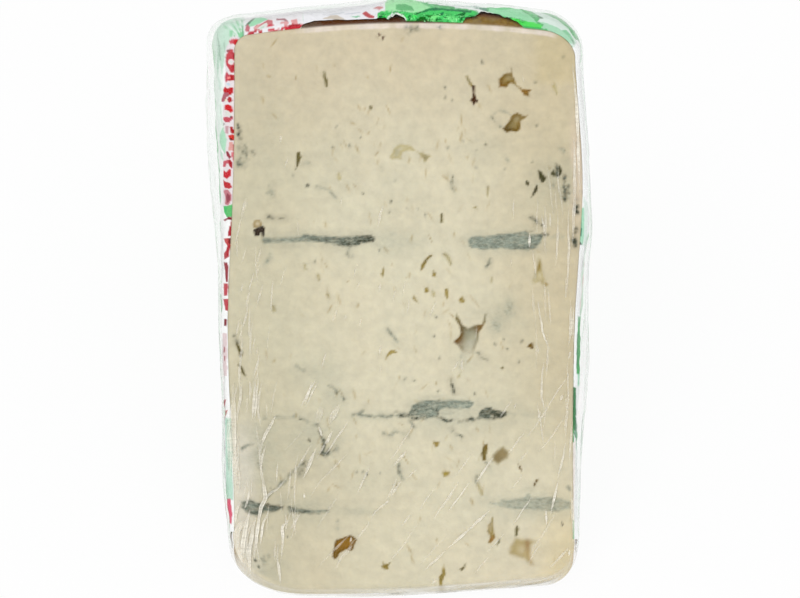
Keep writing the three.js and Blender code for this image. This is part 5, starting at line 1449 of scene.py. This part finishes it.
LONG_CREASES = (  # half width, how bright, and path across and up the cut face
    (0.5, 0.5, (-35.5,41.7, -37.1,37.4, -37.1,33.3, -36.7,30.5, -35.9,26.9, -35.8,24.7, -37.1,22.5,
     -37.4,20.3, -38,17.5, -38.3,14.7, -39.1,10.6, -38.3,8.3)),
    (0.3, 0.6, (-32.7,34.7, -32.9,28.8)),
    (0.35, 0.7, (-40.1,27.4, -40.1,24.7, -41.2,21.9)),
    (0.4, 0.6, (-23,37, -24.6,34.1, -25.8,31.6)),
    (0.45, 0.6, (-30.3,30, -33,26.9, -35.2,25.9, -36.1,23.5)),
    (0.4, 0.8, (-35,21.5, -35.7,19.7, -36.6,17.6, -36.9,15, -37.1,12.5)),
    (0.5, 0.8, (-29.7,19.4, -31.6,17.2, -31.3,14.7, -31.5,11.9, -31.6,9.2)),
    (0.35, 0.4, (-26.4,21.1, -27.9,18.9, -29.5,16.4)),
    (0.45, 0.7, (-32.7,13, -32.7,9.2, -32.2,5.7, -31.9,2.2)),
    (1.1, 0.45, (-40.8,19.4, -42.2,17.9, -43.3,15.8, -43.5,13.5)),
    (0.9, 0.6, (-39.1,18.6, -40.6,16, -40.8,14.7, -41,11.4, -40.8,7)),
    (0.8, 0.6, (-38.3,19.4, -39.2,16.6, -39.4,14.7, -40.4,10.6, -39.9,6.5)),
    (0.6, 0.5, (-42.2,14, -42.6,10.9, -41.7,7.2)),
    (1, 0.4, (-42.7,42.4, -43.2,37.3, -43.7,33.4, -42.9,30.3, -42.7,27.4, -43.5,24.7)),
    (0.35, 0.7, (-25.8,26.1, -25.7,24.7)),
    (0.35, 0.7, (-23.7,55, -24.8,51.7, -25.7,48.9)),
    (0.35, 0.7, (-22.9,55.4, -24.8,52, -26.7,48.4)),
    (0.3, 0.5, (-22.2,55.1, -23.8,52, -25.4,48.1)),
    (1.3, 0.3, (-21.2,48.6, -22.1,46, -22.4,43.5)),
    (0.9, 0.35, (-16.3,49.4, -17.9,46.8, -19.6,43.9)),
    (0.4, 0.9, (-22,43.7, -21.6,42.2, -21.2,40.5)),
    (0.45, 0.55, (-18.4,42.2, -19.4,40.4, -20.2,38.5)),
    (0.45, 0.65, (-22.4,38.3, -23.5,36, -24.3,33.6, -25.2,31.6, -25.9,29.8)),
    (0.4, 0.6, (-8.8,32.9, -9.7,31, -10.5,29.6, -11.4,27.7, -12.4,25.7)),
    (0.35, 0.8, (34.7,76.1, 35.1,72.1, 35.9,67.5, 37,64.9, 38.1,62.4)),
    (0.4, 0.7, (36.3,60.4, 35.9,58.2, 35.6,54.3, 35.5,50.3, 36.1,48.7, 36.2,47)),
    (0.5, 0.35, (34.4,64.7, 34.6,62.1)),
    (0.4, 0.55, (43.2,76.1, 43,71.1, 43.2,67.3, 42.4,63.4)),
    (0.3, 0.5, (44,76.1, 43.8,70.1, 43.9,64.2)),
    (0.35, 0.5, (43.2,63, 42.8,61.8, 42.4,60.6)),
    (0.45, 0.6, (41.1,51.7, 40.7,51, 40.5,49.9)),
    (0.35, 0.6, (29.2,49.5, 28.8,48.6, 28.4,47.8)),
    (0.4, 0.6, (35.5,47.3, 35,46.3, 34.5,45.2)),
    (0.45, 0.4, (-17.9,6.2, -16.8,8.3, -15.9,10.1, -14.2,11.6, -13.2,13.5, -11.9,14.7)),
    (0.45, 0.35, (-12.4,13.7, -11.1,15.8, -10.1,16.6, -8.8,19)),
    (0.4, 0.5, (-8.8,19, -7.8,20.7, -6.5,22, -4.7,23.5, -3.6,24.3)),
    (0.35, 0.9, (-4.7,23.5, -4.1,24.2)),
    (0.35, 0.6, (-14,13.2, -13.5,14.1, -13.6,14.9)),
    (0.4, 0.6, (-3.6,24.8, -2.1,27.4, -0.6,29.6)),
    (0.4, 0.5, (-2.9,32.7, -1.8,34.1, -0.8,35.3, 0.8,37.3)),
    (0.35, 0.5, (-4.7,24.3, -2.8,27.4, -1.6,30.3)),
    (0.35, 0.8, (11.4,21.2, 13.2,23.8, 15,26.1, 17.1,29)),
    (0.35, 0.7, (18.6,28.7, 19.7,30.5, 21.5,33.1, 23.3,35.7)),
    (0.5, 0.75, (22.8,22.2, 20.7,20.2, 18.4,18.1, 16,16, 13.5,13.7, 11.1,11.6)),
    (0.4, 0.6, (11.1,11.6, 9.3,9.8, 7.2,7.8, 5.2,6)),
    (0.35, 0.5, (21.7,21.2, 19.1,19.1, 16.6,16.8)),
    (0.3, 0.4, (7.2,2.3, 8.8,4.4)),
    (0.4, 0.8, (39.8,29.5, 39.3,26.4, 38.5,23.5, 38,20.4)),
    (0.35, 0.8, (36.7,22, 36.9,19.7, 36.9,17.3)),
    (0.4, 0.5, (43.2,29.5, 43.5,24.3, 43.7,19.1, 43.8,12.7)),
    (0.35, 0.6, (41.9,39.8, 41.3,36, 40.4,32.1, 39.8,29.5)),
    (0.5, 0.5, (41.9,51.5, 42.2,47.6, 41.8,43.7, 41.9,39.8)),
    (0.35, 0.5, (43.5,45, 43.2,39.8, 42.7,34.1)),
    (0.4, 0.8, (42.8,11.6, 42.7,9.8)),
    (0.35, 0.7, (32.5,93.6, 32.5,89.5)),
    (0.35, 0.7, (35.7,98, 36.1,95.2, 36.5,92.9)),
    (0.3, 0.6, (37.8,98.8, 38,94.7)),
    (0.3, 0.6, (39.8,109.7, 40.2,103.2)),
    (0.35, 0.6, (44,118.7, 44.2,112.3, 44,104.5)),
    (0.3, 0.4, (44.8,127.8, 45.1,117.4)),
    (0.35, 0.5, (15,60.8, 14.7,59, 15.3,57.4)),
    (0.35, 0.5, (12.4,57.4, 13.5,59, 14,60.5)),
    (0.35, 0.5, (-39.8,76.1, -40.1,68.3, -39.3,60.5)),
    (0.4, 0.45, (-42.2,73.5, -41.9,64.4, -42.7,55.4, -42.2,47.6)),
    (0.35, 0.4, (-36.7,55.4, -37.8,48.9, -37,42.4)),
    (0.5, 0.6, (-42.4,24.3, -43.5,20.4, -44.2,16.6)),
    (0.8, 0.7, (-41.7,19.1, -42.9,15.3, -43.2,11.4)),
    (0.7, 0.8, (-39.8,22.2, -40.9,17.9, -41.7,12.7, -41.7,8.3)),
    (0.7, 0.8, (-38.3,20.4, -39.3,15.3, -40.1,10.1, -39.8,4.9)),
    (0.5, 0.8, (-36.7,24.3, -37.5,19.1, -38.3,14, -38.8,8.8)),
    (1, 0.5, (-44,55.4, -44.2,45, -44,34.7, -43.7,24.3)),
    (0.6, 0.5, (-45.3,50.2, -45.3,39.8, -45,29.5)),
    (0.5, 0.9, (-38.5,55.4, -38.8,50.2, -39.3,44.8)),
    (0.4, 0.9, (-37.5,55.4, -38.3,49.7, -38.7,45)),
    (0.5, 0.6, (-41.7,55.4, -42.4,50.2, -43.5,43.7)),
    (0.6, 0.7, (-33.1,46.3, -35.2,42.4, -37.3,38)),
    (0.45, 0.8, (43.5,138.1, 44.5,127.8, 45,117.4, 45.5,101.9)),
    (0.5, 0.5, (44,114.9, 44.2,101.9, 43.5,89)),
    (0.4, 0.6, (42.4,101.9, 42.7,89, 41.9,76.1)),
)
CREASE_FIELDS = (  # count, lowest and highest across, then up, lean from upright, shortest, longest
    (30, -38, 38, 3, 46, 38, 4, 15),
    (20, -42, -28, 6, 28, 4, 4, 12),
    (14, -42, -34, 28, 80, 3, 4, 14),
    (20, 34, 43, 30, 100, -2, 4, 16),
    (14, -22, 14, 56, 82, 14, 1.5, 5),
    (10, -40, 40, 60, 140, 8, 2, 7),
    (22, -44, -38, 46, 98, 14, 2, 8),
)
CREASE_SEED = 41
# the white of a crease's bright edges, partly painted highlight, and its painted shade line
CREASE_LIT, CREASE_SHADE = (252, 247, 232), (150, 143, 112)
FOLD = np.array((  # the section of a crease: place across it, rise, how milky, which at the bent edges is partly a painted highlight, how much painted shade
    (-1, 0, 0, 0), (-0.8, 0.02, 0.35, 1), (-0.6, 0.1, 1, 0), (-0.25, 0.07, 0.6, 0), (0.3, 0.06, 0.5, 0),
    (0.6, 0.09, 0.85, 0), (0.8, 0.03, 0.2, 0.4), (1, 0, 0, 0), (0.5, -0.03, 0, 0), (-0.5, -0.03, 0, 0),
))


def crease_paths():
    """The long creases, and seeded fine ones: nearly straight, about the lean of their field."""
    draw = np.random.default_rng(CREASE_SEED)
    paths = [(width, bright, pairs(path)) for width, bright, path in LONG_CREASES]
    for count, west, east, south, north, lean, short, long in CREASE_FIELDS:
        for _ in range(count):
            start = np.array((draw.uniform(west, east), draw.uniform(south, north)))
            angle = math.radians(lean + draw.normal(0, 5))
            length = draw.uniform(short, long)
            t = np.linspace(0, 1, 5)[:, None]
            wander = np.cumsum(draw.normal(0, 0.015 * length, 5))[:, None]
            run = np.array((math.sin(angle), math.cos(angle)))
            path = start + t * length * run + wander * np.array((run[1], -run[0]))
            paths.append((draw.uniform(0.2, 0.4), draw.uniform(0.2, 0.5), path))
    return paths


def build_creases():
    """Every crease is the section of a fold carried along its path, a step every half millimetre,
    lying on the film, and closed by a point at either end."""
    side, rise, milky, shade = FOLD.T
    points, faces, marks, start = [], [], [], 0
    for width, bright, path in crease_paths():
        gone = lengths(path)
        steps = np.linspace(0, gone[-1], max(int(gone[-1] / 0.5), 5))
        x, up = (np.interp(steps, gone, path[:, k]) for k in (0, 1))
        for _ in range(2):
            x[1:-1], up[1:-1] = (x[:-2] + x[1:-1] + x[2:]) / 3, (up[:-2] + up[1:-1] + up[2:]) / 3
        own = 0 * steps + 3 * start
        x = x + 0.2 * clouds(steps, own, 3, 141)
        run = np.stack((np.gradient(x), np.gradient(up)), -1)
        run /= np.linalg.norm(run, axis=1, keepdims=True)
        taper = np.sin(math.pi * np.linspace(0.02, 0.98, len(steps))) ** 0.7
        uneven = clouds(steps, own, 4, 143)
        wide = width * taper * (1 + 0.4 * uneven)
        across = x[:, None] + wide[:, None] * side * run[:, 1:]
        along = up[:, None] - wide[:, None] * side * run[:, :1]
        lift = film_face_height(x, up)[:, None] + 0.05 + rise * taper[:, None] * (0.6 + width)
        rings = place(across, along, WEDGE_ANGLE) + lift[..., None] * OUT_OF_FACE
        # how milky each point is, which on the bent edges is partly a painted highlight
        strength = (bright * taper * (1 + 0.5 * uneven))[:, None] * milky
        rows = np.stack((strength, np.broadcast_to(shade, strength.shape), across, along), -1)
        points += [rings.reshape(-1, 3), rings[[0, -1]].mean(1)]
        marks += [rows.reshape(-1, 4), rows.reshape(-1, 4)[[0, -1]] * (0, 0, 1, 1)]
        numbers = start + np.arange(strength.size).reshape(strength.shape)
        start += numbers.size + 2
        this, after = numbers[[0, -1]], np.roll(numbers[[0, -1]], -1, 1)
        head = np.stack((np.full(len(side), start - 2), after[0], this[0]), -1)
        foot = np.stack((np.full(len(side), start - 1), this[1], after[1]), -1)
        faces += [band_faces(numbers), np.stack((head, foot), 1).reshape(-1, 3)]
    milky, shade, *place_on_film = np.concatenate(marks).T
    return add_piece("film_creases", np.concatenate(points), faces,
                     values={"milky": milky.copy(), "shade": shade.copy()},
                     maps={"wrap": np.stack(place_on_film, -1)})


creases = build_creases()
creases.data.materials.append(film_material("creased_film", least=0.0, milky_share=1.3, is_folded=True))
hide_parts("cling_film")


# ---------------------------------------------------------------- table top, light and camera
# A plain near-white table under broad soft light. The camera looks square on to the front cut
# face, a long way off, so that the rind sides show only where they swell past it.

FACE_WIDTH_SEEN = 0.20696  # metres of the cut face's plane that fit the picture's width
SENSOR = 36  # millimetres
TABLE_GLOW = 0.93  # share of the table top's brightness that no shadow darkens
ROOM_LIGHT = 0.9

bpy.ops.mesh.primitive_plane_add(size=12, location=(0, 0, 0))
table_top = bpy.context.object
table_top.name = "table_top"
shader = Shader("table_top_white")
matte = shader.add("BsdfDiffuse", Color=(0.9, 0.9, 0.9, 1)).outputs[0]
glow = shader.add("Emission", Color=(1, 1, 1, 1), Strength=1.0).outputs[0]
table_top.data.materials.append(shader.finish(shader.add("MixShader", i0=TABLE_GLOW, i1=matte, i2=glow)))

world = bpy.data.worlds.new("soft_room")
world.use_nodes = True
colour, strength = world.node_tree.nodes["Background"].inputs[:2]
colour.default_value = (1, 1, 1, 1)
strength.default_value = ROOM_LIGHT
bpy.context.scene.world = world


def add_light(name, at, towards, size, power):
    """A square soft light at a point, turned towards another."""
    data = bpy.data.lights.new(name, "AREA")
    data.energy = power
    data.size = size
    light = bpy.data.objects.new(name, data)
    light.location = at
    light.rotation_euler = (Vector(towards) - Vector(at)).to_track_quat("-Z", "Y").to_euler()
    bpy.context.scene.collection.objects.link(light)


middle = (place(*CAMERA_AT[:2], WEDGE_ANGLE) + AXIS) / 1000
add_light("overhead", (-0.45, -0.5, 1.25), middle, size=0.6, power=2.6)
add_light("glint", (0.5, -1.2, 0.5), middle, size=0.25, power=0.7)

camera_data = bpy.data.cameras.new("camera")
camera_data.sensor_width = SENSOR
camera_data.lens = SENSOR * CAMERA_AT[2] / 1000 / FACE_WIDTH_SEEN
camera = bpy.data.objects.new("camera", camera_data)
camera.location = middle + CAMERA_AT[2] / 1000 * OUT_OF_FACE
camera.rotation_mode = "QUATERNION"
camera.rotation_quaternion = (-Vector(OUT_OF_FACE)).to_track_quat("-Z", "Y")
bpy.context.scene.collection.objects.link(camera)
bpy.context.scene.camera = camera
bpy.context.scene.view_settings.view_transform = "Standard"
bpy.context.scene.cycles.transparent_max_bounces = 24
